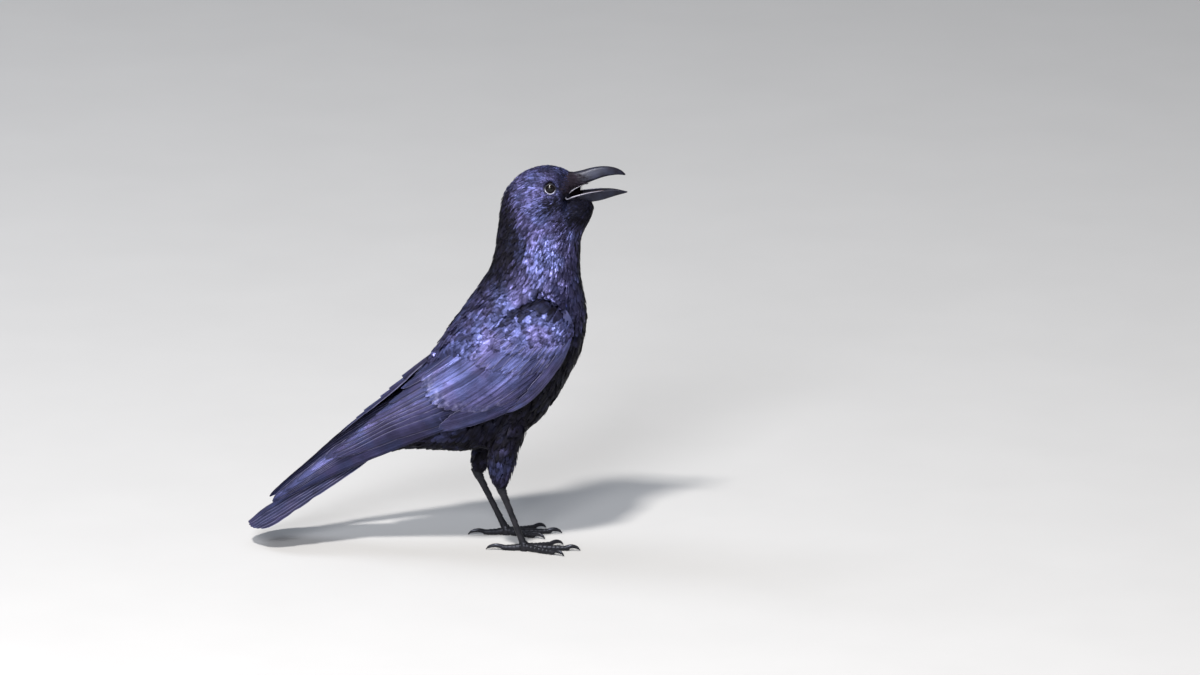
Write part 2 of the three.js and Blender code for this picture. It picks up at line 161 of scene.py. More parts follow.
def unit(vectors):
    return vectors / np.maximum(np.linalg.norm(vectors, axis=-1, keepdims=True), 1e-12)


def smoothStep(low, high, value):
    share = np.clip((value - low) / (high - low), 0, 1)
    return share * share * (3 - 2 * share)


def mix(first, second, share):
    return first + (second - first) * share


def curveAt(points, share):
    # a smooth curve through the points, with share 0 at the first and 1 at the last
    points = np.asarray(points, float)
    last = len(points) - 1
    place = np.clip(np.atleast_1d(share), 0, 1) * last
    index = np.minimum(place.astype(int), last - 1)
    t = (place - index)[:, None]
    start, end = points[index], points[index + 1]
    before = np.where((index > 0)[:, None], points[np.maximum(index - 1, 0)], 2 * start - end)
    after = np.where((index < last - 1)[:, None], points[np.minimum(index + 2, last)], 2 * end - start)
    bend = (2 * before - 5 * start + 4 * end - after) * t**2 + (3 * start - before - 3 * end + after) * t**3
    return start + ((end - before) * t + bend) / 2


def ringFaces(rings, around):
    # quads between closed rings of points, and a cap at each end
    faces = []
    for ring in range(rings - 1):
        for k in range(around):
            after = (k + 1) % around
            low, high = ring * around, (ring + 1) * around
            faces.append((low + k, low + after, high + after, high + k))
    faces.append(tuple(reversed(range(around))))
    faces.append(tuple(range((rings - 1) * around, rings * around)))
    return faces


def turnOutwards(thing):
    shape = bmesh.new()
    shape.from_mesh(thing.data)
    bmesh.ops.recalc_face_normals(shape, faces=shape.faces)
    shape.to_mesh(thing.data)
    shape.free()
    return thing


# Materials

plumageLook = dict(
    violet=(0.235, 0.220, 0.52),
    blue=(0.190, 0.215, 0.52),
    deep=(0.060, 0.060, 0.140),
    # the black shown where there is no gloss, also used for painted shade
    dull=(0.0025, 0.002, 0.0025),
    # painted highlight: the pale colour of long feathers' lit edges and tips
    rim=(0.47, 0.46, 0.74),
    metal=0.92,  # how far the gloss is a coloured reflection
    patchSize=26,
    specular=0.06,
    barbDepth=0.06,
    barbSlant=0.22,
    # painted shade beside each long feather's lit edge, where the next feather overlaps
    edgeDim=0.58,  # how much a long feather's vane darkens beside its lit edge
    # the share of the coat's gloss and painted light and shade that the skin shows
    underFeathers=0.25,  # how much of the coat's gloss the skin has
    # how streaks run along and across a vane, how much gloss a dull feather loses, and the least of it
    # that streaks and clouds leave
    small=dict(streaks=(0.8, 5, 1), dulling=0.8, leastStreak=0.4, cloudSize=0.25, leastCloud=0.4),
    long=dict(streaks=(0.25, 11, 1), dulling=0.65, leastStreak=0.5, cloudSize=0.9, leastCloud=0.62),
)
# barbs along each vane, roughness, how glossy it is and how far its tip is lit
plumageFinishes = dict(
    coatFeathers=dict(barbs=26, roughness=0.40),
    flightFeathers=dict(barbs=150, roughness=0.43, long=True, shine=0.5),
    largeCoverts=dict(barbs=110, roughness=0.42, long=True, shine=0.88),
    litCoverts=dict(barbs=110, roughness=0.42, long=True, shine=0.84, litTips=0.14),
)


def startMaterial(name, colour, roughness, specular=0.5, tint=(1, 1, 1), coat=0.0, coatRoughness=0.1):
    material = bpy.data.materials.new(name)
    material.use_nodes = True
    shader = material.node_tree.nodes["Principled BSDF"]
    shader.inputs["Base Color"].default_value = (*colour, 1)
    shader.inputs["Roughness"].default_value = roughness
    shader.inputs["Specular IOR Level"].default_value = specular
    shader.inputs["Specular Tint"].default_value = (*tint, 1)
    shader.inputs["Coat Weight"].default_value = coat
    shader.inputs["Coat Roughness"].default_value = coatRoughness
    return material, material.node_tree, shader


def colourMix(tree, share, first, second):
    node = addNode(tree, "ShaderNodeMix", {"Factor": share}, data_type="RGBA")
    for socket, value in ((6, first), (7, second)):
        if isinstance(value, bpy.types.NodeSocket):
            tree.links.new(value, node.inputs[socket])
        else:
            node.inputs[socket].default_value = (*value, 1)
    return node.outputs[2]


def noiseAt(tree, place, scale, detail):
    inputs = {"Vector": place, "Scale": scale, "Detail": detail}
    return addNode(tree, "ShaderNodeTexNoise", inputs).outputs["Fac"]


def objectNoise(tree, size, detail=3.0, stretch=(1, 1, 1)):
    place = addNode(tree, "ShaderNodeTexCoord").outputs["Object"]
    scaled = addNode(tree, "ShaderNodeMapping", {"Vector": place, "Scale": stretch}).outputs["Vector"]
    return noiseAt(tree, scaled, 1 / (size * mm), detail)


def addBump(tree, shader, height, strength, depth):
    inputs = {"Height": height, "Strength": strength, "Distance": depth * mm}
    feed(shader, Normal=addNode(tree, "ShaderNodeBump", inputs).outputs["Normal"])


def ramp(tree, value, span, kind="SMOOTHSTEP"):
    inputs = {"Value": value, "From Min": span[0], "From Max": span[1]}
    return addNode(tree, "ShaderNodeMapRange", inputs, interpolation_type=kind).outputs["Result"]


def atLeast(tree, value, least):
    # brings a value between 0 and 1 to between least and 1
    return plus(tree, least, times(tree, value, 1 - least))


def plumageColour(tree, gloss):
    # the markings that skin and feathers share: patches of violet and of blue gloss, falling to black where
    # gloss is low, also where shade is painted
    look = plumageLook
    share = ramp(tree, objectNoise(tree, look["patchSize"]), (0.4, 0.6))
    colour = colourMix(tree, share, look["violet"], look["blue"])
    shade = ramp(tree, objectNoise(tree, look["patchSize"] * 0.6), (0.45, 0.95))
    return colourMix(tree, gloss, look["dull"], colourMix(tree, shade, colour, look["deep"]))


def plumageMaterial(name, barbs, roughness, long=False, litTips=0.0, shine=1.0):
    look, kind = plumageLook, plumageLook["long" if long else "small"]
    material, tree, shader = startMaterial(name, look["deep"], roughness, look["specular"])
    vane, tone = attributeNode(tree, "vane", "Vector"), attributeNode(tree, "tone")
    # some feathers shine and others stay dark, in streaks along the barbs
    shifted = vectorNode(tree, "ADD", vectorNode(tree, "MULTIPLY", vane, kind["streaks"]), tone)
    noise = noiseAt(tree, shifted, 2.5, 4.0)
    cloud = ramp(tree, objectNoise(tree, look["patchSize"] * kind["cloudSize"]), (0.38, 0.6))
    gloss = oneMinus(tree, times(tree, tone, kind["dulling"]))
    gloss = times(tree, gloss, atLeast(tree, ramp(tree, noise, (0.3, 0.62)), kind["leastStreak"]), shine)
    gloss = times(tree, gloss, atLeast(tree, cloud, kind["leastCloud"]))
    split = addNode(tree, "ShaderNodeSeparateXYZ", {0: vane})
    across = mathNode(tree, "ABSOLUTE", split.outputs["Y"])
    if long:
        # painted shade: the vane darkens beside its lit edge
        edgeShadeShare = times(tree, ramp(tree, across, (0.45, 0.84)), look["edgeDim"])
        gloss = times(tree, gloss, oneMinus(tree, edgeShadeShare))
    else:
        gloss = times(tree, gloss, attributeNode(tree, "gloss"))
    colour = plumageColour(tree, gloss)
    # barbs slant from the shaft towards the tip
    slanted = mathNode(tree, "SUBTRACT", split.outputs["X"], times(tree, across, look["barbSlant"]))
    wave = mathNode(tree, "SINE", times(tree, slanted, barbs * 2 * math.pi))
    height = plus(tree, wave, times(tree, objectNoise(tree, 1.2, 2.0), 1.5))
    addBump(tree, shader, height, 0.5, look["barbDepth"])
    if long:
        # painted highlight along each long feather's edge and, in patches, on its tip
        edge = mathNode(tree, "MULTIPLY", ramp(tree, across, (0.86, 1.0)), objectNoise(tree, 12, 2.0), True)
        tips = times(tree, ramp(tree, split.outputs["X"], (0.84, 0.95)), litTips * 2)
        worn = ramp(tree, objectNoise(tree, 5, 3.0), (0.42, 0.75))
        tips = mathNode(tree, "MULTIPLY", tips, worn, True)
        lit = mathNode(tree, "MAXIMUM", times(tree, edge, shine), tips)
        colour = colourMix(tree, lit, colour, look["rim"])
    metallic = times(tree, ramp(tree, gloss, (0, 0.3)), look["metal"])
    rough = plus(tree, roughness - 0.07, times(tree, tone, 0.2))
    feed(shader, BaseColor=colour, Metallic=metallic, Roughness=rough)
    return material


def skinMaterial():
    material, tree, shader = startMaterial("skinUnderFeathers", plumageLook["deep"], 0.6, 0.1)
    # the skin's colour follows the coat's gloss and painted light and shade
    gloss = times(tree, attributeNode(tree, "gloss"), plumageLook["underFeathers"])
    feed(shader, BaseColor=plumageColour(tree, gloss), Metallic=times(tree, gloss, plumageLook["metal"]))
    addBump(tree, shader, objectNoise(tree, 1.0), 0.4, 0.2)
    return material


def hornMaterial(name, colour, worn, roughness, stretch, grain=1.1):
    material, tree, shader = startMaterial(name, colour, roughness, 0.22, (0.75, 0.8, 1.0), 0.04, 0.25)
    grainHeight = objectNoise(tree, grain, 4.0, stretch)
    share = ramp(tree, objectNoise(tree, 9, 3.0), (0.45, 0.7), "LINEAR")
    rough = plus(tree, roughness - 0.12, times(tree, grainHeight, 0.26))
    feed(shader, BaseColor=colourMix(tree, share, colour, worn), Roughness=rough)
    addBump(tree, shader, grainHeight, 0.35, 0.12)
    return material


def fleshMaterial(name, colour, roughness):
    material, tree, shader = startMaterial(name, colour, roughness, 0.5, (1, 1, 1), 0.3, 0.2)
    spots = objectNoise(tree, 1.4, 3.0)
    feed(shader, BaseColor=colourMix(tree, spots, colour, [value * 0.55 for value in colour]))
    addBump(tree, shader, spots, 0.4, 0.15)
    return material


def eyeMaterial():
    # the attribute ring is the distance from the middle of the pupil, in millimetres
    colour = dict(pupil=(0.002, 0.002, 0.002), iris=(0.007, 0.004, 0.003), rim=(0.004, 0.003, 0.003))
    material, tree, shader = startMaterial("eyeBall", colour["iris"], 0.1, 0.18, (1, 1, 1), 0.2, 0.02)
    ring = plus(tree, attributeNode(tree, "ring"), times(tree, objectNoise(tree, 0.5), 0.3))
    outer, inner = (ramp(tree, ring, span, "LINEAR") for span in ((3.4, 4.2), (2.15, 2.4)))
    streaks = colourMix(tree, objectNoise(tree, 0.35), colour["iris"], colour["rim"])
    iris = colourMix(tree, outer, streaks, colour["rim"])
    feed(shader, BaseColor=colourMix(tree, inner, colour["pupil"], iris))
    return material


def floorMaterial():
    colour = studio["floorColour"]
    material, tree, shader = startMaterial("floorPaint", colour, 0.85, 0.2)
    worn = [value * 0.94 for value in colour]
    feed(shader, BaseColor=colourMix(tree, objectNoise(tree, 120), colour, worn))
    return material


# Camera, floor and light

view = dict(distance=15000, elevation=15, lens=500, target=(144.9, 0, 191.5))
studio = dict(floorSize=9000, floorColour=(0.46, 0.455, 0.445), world=(0.62, 0.68, 0.8), worldStrength=0.2)
# each lamp: place in metres, size in metres, power in watts, colour
lamps = dict(
    key=((-0.8, -2.3, 4.2), 0.45, 300, (1.0, 0.97, 0.94)),
    front=((-0.7, -3.0, 1.75), 1.1, 125, (0.95, 0.96, 1.0)),
    sky=((0.3, 0.8, 3.4), 2.4, 14, (0.75, 0.85, 1.0)),
    fill=((2.6, -2.4, 1.4), 1.8, 3, (0.9, 0.94, 1.0)),
    behind=((-2.2, 1.2, 2.8), 1.6, 50, (0.85, 0.9, 1.0)),
)


def setTheStage():
    camera = bpy.data.cameras.new("camera")
    camera.lens = view["lens"]
    camera.clip_end = 50
    cameraObject = linkObject(bpy.data.objects.new("camera", camera))
    tilt = math.radians(view["elevation"])
    target = Vector(view["target"]) * mm
    cameraObject.location = target + Vector((0, -math.cos(tilt), math.sin(tilt))) * view["distance"] * mm
    cameraObject.rotation_euler = (math.pi / 2 - tilt, 0, 0)
    bpy.context.scene.camera = cameraObject

    for name, (place, size, power, colour) in lamps.items():
        lamp = bpy.data.lights.new(name, "AREA")
        lamp.size = size
        lamp.energy = power
        lamp.color = colour
        lampObject = linkObject(bpy.data.objects.new(name, lamp))
        lampObject.location = place
        lampObject.rotation_euler = (target - Vector(place)).to_track_quat("-Z", "Y").to_euler()

    world = bpy.data.worlds.new("softLight")
    world.use_nodes = True
    background = world.node_tree.nodes["Background"]
    background.inputs["Color"].default_value = (*studio["world"], 1)
    background.inputs["Strength"].default_value = studio["worldStrength"]
    bpy.context.scene.world = world
    bpy.context.scene.view_settings.view_transform = "Standard"

    half = studio["floorSize"] * mm / 2
    corners = [(-half, -half, 0), (half, -half, 0), (half, half, 0), (-half, half, 0)]
    meshObject("floor", corners, [(0, 1, 2, 3)], floorMaterial())


setTheStage()
print("stage set")

# The folded wing's outer surface, from the wrist to the tip

wingLines = dict(
    upper=[(113, 33, 233), (90, 31, 245), (55, 27, 231), (17, 22, 196), (-22, 14, 164)]
    + [(-58, 14, 130), (-92, 10, 101), (-124, 9, 72.5), (-155, 9, 45)],
    widest=[(122, 42, 221), (103, 50, 215), (70, 56, 193), (33, 57, 166), (-7, 50, 144)]
    + [(-50, 36, 122), (-93, 25, 93), (-126, 18, 66), (-159, 13, 40)],
    lower=[(124, 41, 205), (110, 44, 177), (81, 46, 143), (46, 47, 126), (4, 45, 113)]
    + [(-45, 37, 94), (-92, 27, 72), (-125, 19.5, 53.5), (-152, 16, 38)],
)


def wingSurface(spots):
    # spots: along 0 at the wrist to 1 at the tip, down 0 at the upper edge to 1 at the lower
    along, down = np.asarray(spots, float).reshape(-1, 2).T
    top, wide, low = (curveAt(wingLines[name], along) * mm for name in ("upper", "widest", "lower"))
    control = 2 * wide - (top + low) / 2
    down = np.clip(down, -0.12, 1.1)[:, None]
    return top * (1 - down) ** 2 + 2 * down * (1 - down) * control + low * down**2


def surfaceFrame(surface, spots):
    step = 0.004
    first = (surface(spots + (step, 0)) - surface(spots - (step, 0))) / (2 * step)
    second = (surface(spots + (0, step)) - surface(spots - (0, step))) / (2 * step)
    return first, second


wingCoat = dict(
    steps=(90, 40),
    thickness=8,
    # how far down the wing, then where along it the small feathers end and the large coverts begin
    edge=[(0, 0.15, 0.3, 0.42, 0.55, 0.65, 0.75, 0.85, 1)]
    + [(0.4, 0.38, 0.33, 0.27, 0.22, 0.17, 0.12, 0.07, 0.04)],
    # along and down of the line the shoulder overhangs
    arch=[(0, 0.1, 0.22, 0.31), (0.33, 0.05, 0.13, 0.12)],
    overhang=2.4,  # how much deeper the wing lies there
    pocket=(10.5, 4.5),  # how far from that line this starts and where it is full
    pocketEnd=(0.32, 0.16),
    ledge=2.0,  # how far the feathers along that line stand off
    shallow=1.2,  # the skin's depth under the small feathers and then under the large coverts
    deep=5.6,
    rim=4.5,  # how far the skin draws in from the lower edge and from the coat's end
    rimSpan=(0.8, 1),
    endSpan=(0.42, 0.48),
    reach=(11, 7),  # how near the wing's surface the skin belongs to it
    root=(0.0, 0.12),
)


def wingGrid():
    along, down = np.meshgrid(*(np.linspace(0, 1, count) for count in wingCoat["steps"]))
    spots = np.stack([along.ravel(), down.ravel()], 1)
    first, second = surfaceFrame(wingSurface, np.clip(spots, 0.01, 0.99))
    out = unit(np.cross(first, second))
    out *= np.sign(out[:, 1:2])
    return spots, wingSurface(spots), unit(first), unit(second), out


wingAt = wingGrid()
wingTree = KDTree(len(wingAt[0]))
for number, point in enumerate(wingAt[1]):
    wingTree.insert(point, number)
wingTree.balance()


def nearWing(places):
    # for each place, the number of the nearest spot on the wing, and how far off it is in mm
    found = [wingTree.find((x, abs(y), z))[1:] for x, y, z in places]
    number, gap = np.array(found).T
    return number.astype(int), gap / mm


def shoulderPocket(number):
    # 1 where the wing slips in under the shoulder's feathers
    along, down = wingAt[0][number].T
    below = down - np.interp(along, *wingCoat["arch"])
    line = wingSurface(np.stack(wingCoat["arch"], 1))
    shares = np.linspace(0, 1, 12)[:, None]
    line = np.concatenate([mix(start, end, shares) for start, end in zip(line, line[1:])])
    gap = np.linalg.norm(wingAt[1][number][:, None] - line[None], axis=2).min(1) / mm
    inReach = smoothStep(-0.01, 0.01, below) * smoothStep(*wingCoat["pocket"], gap)
    return inReach * smoothStep(*wingCoat["pocketEnd"], along)


def wingDepth(number):
    along, down = wingAt[0][number].T
    edge = np.interp(down, *wingCoat["edge"])
    depth = mix(wingCoat["shallow"], wingCoat["deep"], smoothStep(edge - 0.01, edge + 0.06, along))
    return depth + wingCoat["overhang"] * shoulderPocket(number)


# Where the coat is glossy, partly its own gloss and partly painted light and shade, in millimetres: each pair
# is where a share starts and where it is full
glossFrom = dict(
    side=(4, 18),
    crown=(326, 338),
    back=(66, 50),
    backTop=255,
    nape=(-9, 19),
    napeLevels=[(212, 272), (352, 336)],
    napeLine=[(240, 250, 278, 300, 322, 340), (54, 62, 76, 78, 71, 56)],  # level, then where the nape ends
    lore=(109, 101),
    loreLevels=[(345, 340), (318, 324)],
    chin=(112, 122),
    chinLevels=[(296, 303), (330, 322)],
    belly=(98, 152),
    bellyLine=(20, 0.9),  # from here forwards the dull belly climbs by this much
    thigh=(20, 30),
    thighLevels=[(110, 98), (66, 80)],
)
# shares of gloss and painted light by region: lore, chin and pocket are painted shade, thigh is painted light
glossShares = dict(back=0.8, lore=0.15, chin=0.12, thigh=0.26, wing=1.3, least=0.05, pocket=0.88)
# spots of painted shade, where gloss is taken away: place, where it starts and where it is full again, and
# the share kept in the middle
# those below the eye and along the jaw are alike, and the last is on the forehead
jawShadeSpots = [(98, 322), (103, 320), (107, 322), (113, 307), (119, 307), (125, 309)]
paintedShadeSpots = [(place, (2.5, 7.5), 0.1) for place in jawShadeSpots] + [((104, 349), (3, 12), 0.45)]
# painted light: the cheek and the side of the neck shine more, the shoulder less, as shade: place, reach and
# how much
paintedLightSpots = [((89, 322), 9, 0.65), ((84, 310), 12, 0.5), ((88, 290), 17, 0.6)]
paintedLightSpots += [((96, 274), 15, 0.5), ((60, 233), 16, -0.4)]


def between(spans, value):
    return smoothStep(*spans[0], value) * smoothStep(*spans[1], value)


def glossAt(places, onWing, pocket):
    # 1 on the sides, the crown, the back and the wings, 0 on the nape, the chin, the breast and the belly
    # partly the plumage's own gloss, partly painted light: parts in shade are painted dull black, lit parts
    # glossy
    x, y, z = (places / mm).T
    spans, shares = glossFrom, glossShares
    gloss = np.maximum(smoothStep(*spans["side"], np.abs(y)), smoothStep(*spans["crown"], z))
    gloss = np.maximum(gloss, smoothStep(*spans["back"], x) * shares["back"] * (z < spans["backTop"]))
    nape = smoothStep(*spans["nape"], x - np.interp(z, *spans["napeLine"]))
    gloss *= mix(1, nape, between(spans["napeLevels"], z))
    lore = mix(shares["lore"], 1, smoothStep(*spans["lore"], x))
    gloss *= mix(1, lore, between(spans["loreLevels"], z))
    for (spotX, spotZ), reach, kept in paintedShadeSpots:
        gloss *= mix(kept, 1, smoothStep(*reach, np.hypot(x - spotX, z - spotZ)))
    for (spotX, spotZ), reach, gain in paintedLightSpots:
        gloss *= 1 + gain * np.exp(-(((x - spotX) ** 2 + (z - spotZ) ** 2) / reach**2))
    gloss *= mix(1, shares["chin"], smoothStep(*spans["chin"], x) * between(spans["chinLevels"], z))
    # painted shade: the breast and the belly stay dull black below a line that climbs forwards
    start, climb = spans["bellyLine"]
    gloss *= mix(smoothStep(*spans["belly"], z - climb * np.maximum(x - start, 0)), 1, onWing)
    # the feathers of the thigh catch some light
    thigh = smoothStep(*spans["thigh"], np.abs(y)) * between(spans["thighLevels"], z) * (x > 20)
    gloss = np.maximum(gloss, shares["thigh"] * thigh) * mix(1, shares["wing"], onWing)
    # painted shade: feathers where the wing slips under the shoulder's feathers are made dull
    shaded = shares["pocket"] * onWing * smoothStep(0.25, 0.85, pocket)
    return np.maximum(gloss, shares["least"]) * (1 - shaded)


# Bill: each section is a point on the ridge, a point on the cutting edge and half the width

bill = dict(
    upper=[
        ((112.0, 343.6), (115.5, 328.0), 9.0),
        ((119.5, 345.0), (121.0, 331.3), 8.4),
        ((128.0, 346.8), (129.0, 335.2), 7.2),
        ((137.5, 349.4), (139.0, 339.0), 6.0),
        ((147.5, 350.7), (149.0, 342.2), 4.7),
        ((157.0, 349.8), (158.0, 343.4), 3.1),
        ((164.0, 346.9), (163.4, 343.2), 1.7),
        ((168.0, 343.2), (167.0, 342.4), 0.4),
    ],
    lower=[
        ((116.0, 313.0), (112.5, 321.8), 8.5),
        ((123.5, 314.8), (121.0, 324.2), 7.9),
        ((134.5, 317.2), (133.0, 327.0), 6.6),
        ((146.5, 319.4), (145.0, 328.9), 5.0),
        ((158.5, 323.2), (157.0, 329.2), 3.2),
        ((169.2, 326.2), (169.6, 327.2), 0.5),
    ],
    rows=46,
    around=18,
    inside=10,
    wall=0.9,
    hollow=0.45,
    ridge=0.34,  # how much narrower the ridge is than the cutting edge, and then the keel of the lower half
    keel=0.28,
)


def billHalf(name, sections, ridge, finish):
    ridgeLine = [section[0] for section in sections]
    edgeLine = [section[1] for section in sections]
    widths = [(section[2], 0) for section in sections]
    share = 1 - (1 - np.linspace(0, 1, bill["rows"])) ** 1.3
    top, edge = curveAt(ridgeLine, share), curveAt(edgeLine, share)
    half = curveAt(widths, share)[:, 0]
    angles = np.linspace(-math.pi / 2, math.pi / 2, bill["around"])
    points = []
    for row in range(len(share)):
        rise = np.abs(np.cos(angles)) ** 0.95
        groove = 1 - 0.05 * np.exp(-(((rise - 0.2) / 0.07) ** 2))
        across = np.sign(angles) * np.abs(np.sin(angles)) ** 0.8 * (1 - ridge * rise) * half[row] * groove
        inner = np.linspace(1, -1, bill["inside"] + 2)[1:-1]
        wall = max(half[row] - bill["wall"], half[row] * 0.3)
        acrossAll = np.concatenate([across, inner * wall])
        riseAll = np.concatenate([rise, bill["hollow"] * (1 - inner**4)])
        ring = edge[row] + (top[row] - edge[row]) * riseAll[:, None]
        points.append(np.stack([ring[:, 0], acrossAll, ring[:, 1]], 1))
    points = np.concatenate(points) * mm
    faces = ringFaces(len(share), bill["around"] + bill["inside"])
    return turnOutwards(meshObject(name, points, faces, finish))


def tubeAlong(points, radii, rows, around, heading=0.0, relief=None, floor=None):
    # a limb along a curve, radii fore and aft and then sideways; relief(share, angle) scales them
    share = np.linspace(0, 1, rows)
    path, size = curveAt(points, share), curveAt(radii, share)
    ahead = unit(np.gradient(path, axis=0))
    level = np.array([-math.sin(heading), math.cos(heading), 0.0])
    sideways = unit(level - ahead * (ahead @ level)[:, None])
    fore = unit(np.cross(ahead, sideways))
    angle = np.linspace(0, 2 * math.pi, around, endpoint=False)
    scale = np.ones((rows, around)) if relief is None else relief(share[:, None], angle[None])
    up = (np.cos(angle) * scale * size[:, :1])[..., None] * fore[:, None]
    across = (np.sin(angle) * scale * size[:, 1:2])[..., None] * sideways[:, None]
    places = path[:, None] + up + across
    if floor is not None:
        places[..., 2] = np.maximum(places[..., 2], floor)
    return places.reshape(-1, 3) * mm, ringFaces(rows, around)


def joinTubes(name, tubes, finish):
    points, faces, start = [], [], 0
    for place, corners in tubes:
        points.append(place)
        faces += [tuple(start + k for k in face) for face in corners]
        start += len(place)
    return turnOutwards(meshObject(name, np.concatenate(points), faces, finish))


hornFinish = hornMaterial("billHorn", (0.007, 0.006, 0.010), (0.015, 0.016, 0.028), 0.40, (0.25, 1, 1.6))
upperBill = billHalf("upper_bill", bill["upper"], bill["ridge"], hornFinish)
lowerBill = billHalf("lower_bill", bill["lower"], bill["keel"], hornFinish)
upperTree, jawTree = surfaceTree(upperBill), surfaceTree(lowerBill)

# Skin

skin = dict(
    voxel=1.5,
    overlap=0.9,  # how far the nodes are swollen so that they join
    smoothing=10,
    evening=8,
    depths=dict(face=0.5, neck=1.8, trunk=2.4, leg=1.6, heel=0.9),
    # where each depth comes in, by its spans of x and of z
    neckSpans=((150, 118), (318, 285)),
    napeSpans=((85, 62), (350, 325)),
    trunkSpan=(262, 232),
    legSpans=((20, 30), (98, 78)),
    heelSpans=((20, 30), (68, 60)),
    deepest=60,  # how far through the body its thickness is looked for
    billRoot=(112, 123),
    jawRoot=(108, 118),
    jawSink=(-2.4, 0.2),  # how far above the lower bill's keel the skin slips in
    mouthLevel=331,
    # the skin narrows a little before the eyes, and much more in the corners of the mouth
    browNarrow=0.2,
    browSpans=((103, 114), (330, 334)),
    corner=dict(
        start=(111.5, 114), lower=(321, 322.5),
        upper=(329, 326.5), origin=113, climb=0.75, width=0.55,
    ),
    chin=[(114, 123.5, 134.5, 146.5, 158.5), (312.6, 314.8, 317.2, 319.4, 323.2)],
    mostOfThickness=0.42,
    eyeOpening=4.5,
    heels=[(34.5, 27), (56, -27)],
    heelWidth=0.66,  # how much narrower than its node the leg's feathered end is
    heelReach=22,
    heelLevels=(56, 84),
    behindBall=2.4,  # how far under the front of the eyeball the skin lies
)
eye = dict(radius=6.3, place=(100.3, 12.9, 333.9), corneaRadius=3.4, corneaHeight=0.35)
fleshNodes = ["head", "neck", "trunk", "thigh_left", "thigh_right", "wing_left_coverts", "wing_right_coverts"]


def joinedMeshes(meshes, swell=None):
    # one object from several meshes, each welded and moved outwards when a swell is given
    joined = bmesh.new()
    for mesh in meshes:
        part = bmesh.new()
        part.from_mesh(mesh)
        if swell is not None:
            bmesh.ops.remove_doubles(part, verts=part.verts, dist=1e-6)
            part.normal_update()
            for vert in part.verts:
                vert.co += vert.normal * swell
        copy = bpy.data.meshes.new("copy")
        part.to_mesh(copy)
        part.free()
        joined.from_mesh(copy)
        bpy.data.meshes.remove(copy)
    mesh = bpy.data.meshes.new("joined")
    joined.to_mesh(mesh)
    joined.free()
    return linkObject(bpy.data.objects.new("joined", mesh))


def nodeMeshes(names):
    return [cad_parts[name].data for name in names]


def coatDepth(places):
    # how far the skin lies inside the tips of the coat, region by region, in metres
    x, _, z = (places / mm).T
    depths = skin["depths"]
    neck, nape, leg, heel = (
        smoothStep(*skin[name][0], x) * smoothStep(*skin[name][1], z)
        for name in ("neckSpans", "napeSpans", "legSpans", "heelSpans")
    )
    depth = np.maximum(mix(depths["face"], depths["neck"], neck), depths["neck"] * nape)
    depth = mix(depth, depths["trunk"], smoothStep(*skin["trunkSpan"], z))
    return mix(mix(depth, depths["leg"], leg), depths["heel"], heel) * mm


def evened(mesh, places, passes):
    # draws each point towards the middle of its neighbours
    first, second = readValues(mesh.edges, "vertices", 2, np.int32).T
    count = np.bincount(np.concatenate([first, second]), minlength=len(places))[:, None]
    for _ in range(passes):
        total = np.stack(
            [
                np.bincount(first, places[second, axis], len(places))
                + np.bincount(second, places[first, axis], len(places))
                for axis in range(3)
            ],
            1,
        )
        places = mix(places, total / count, 0.5)
    return places


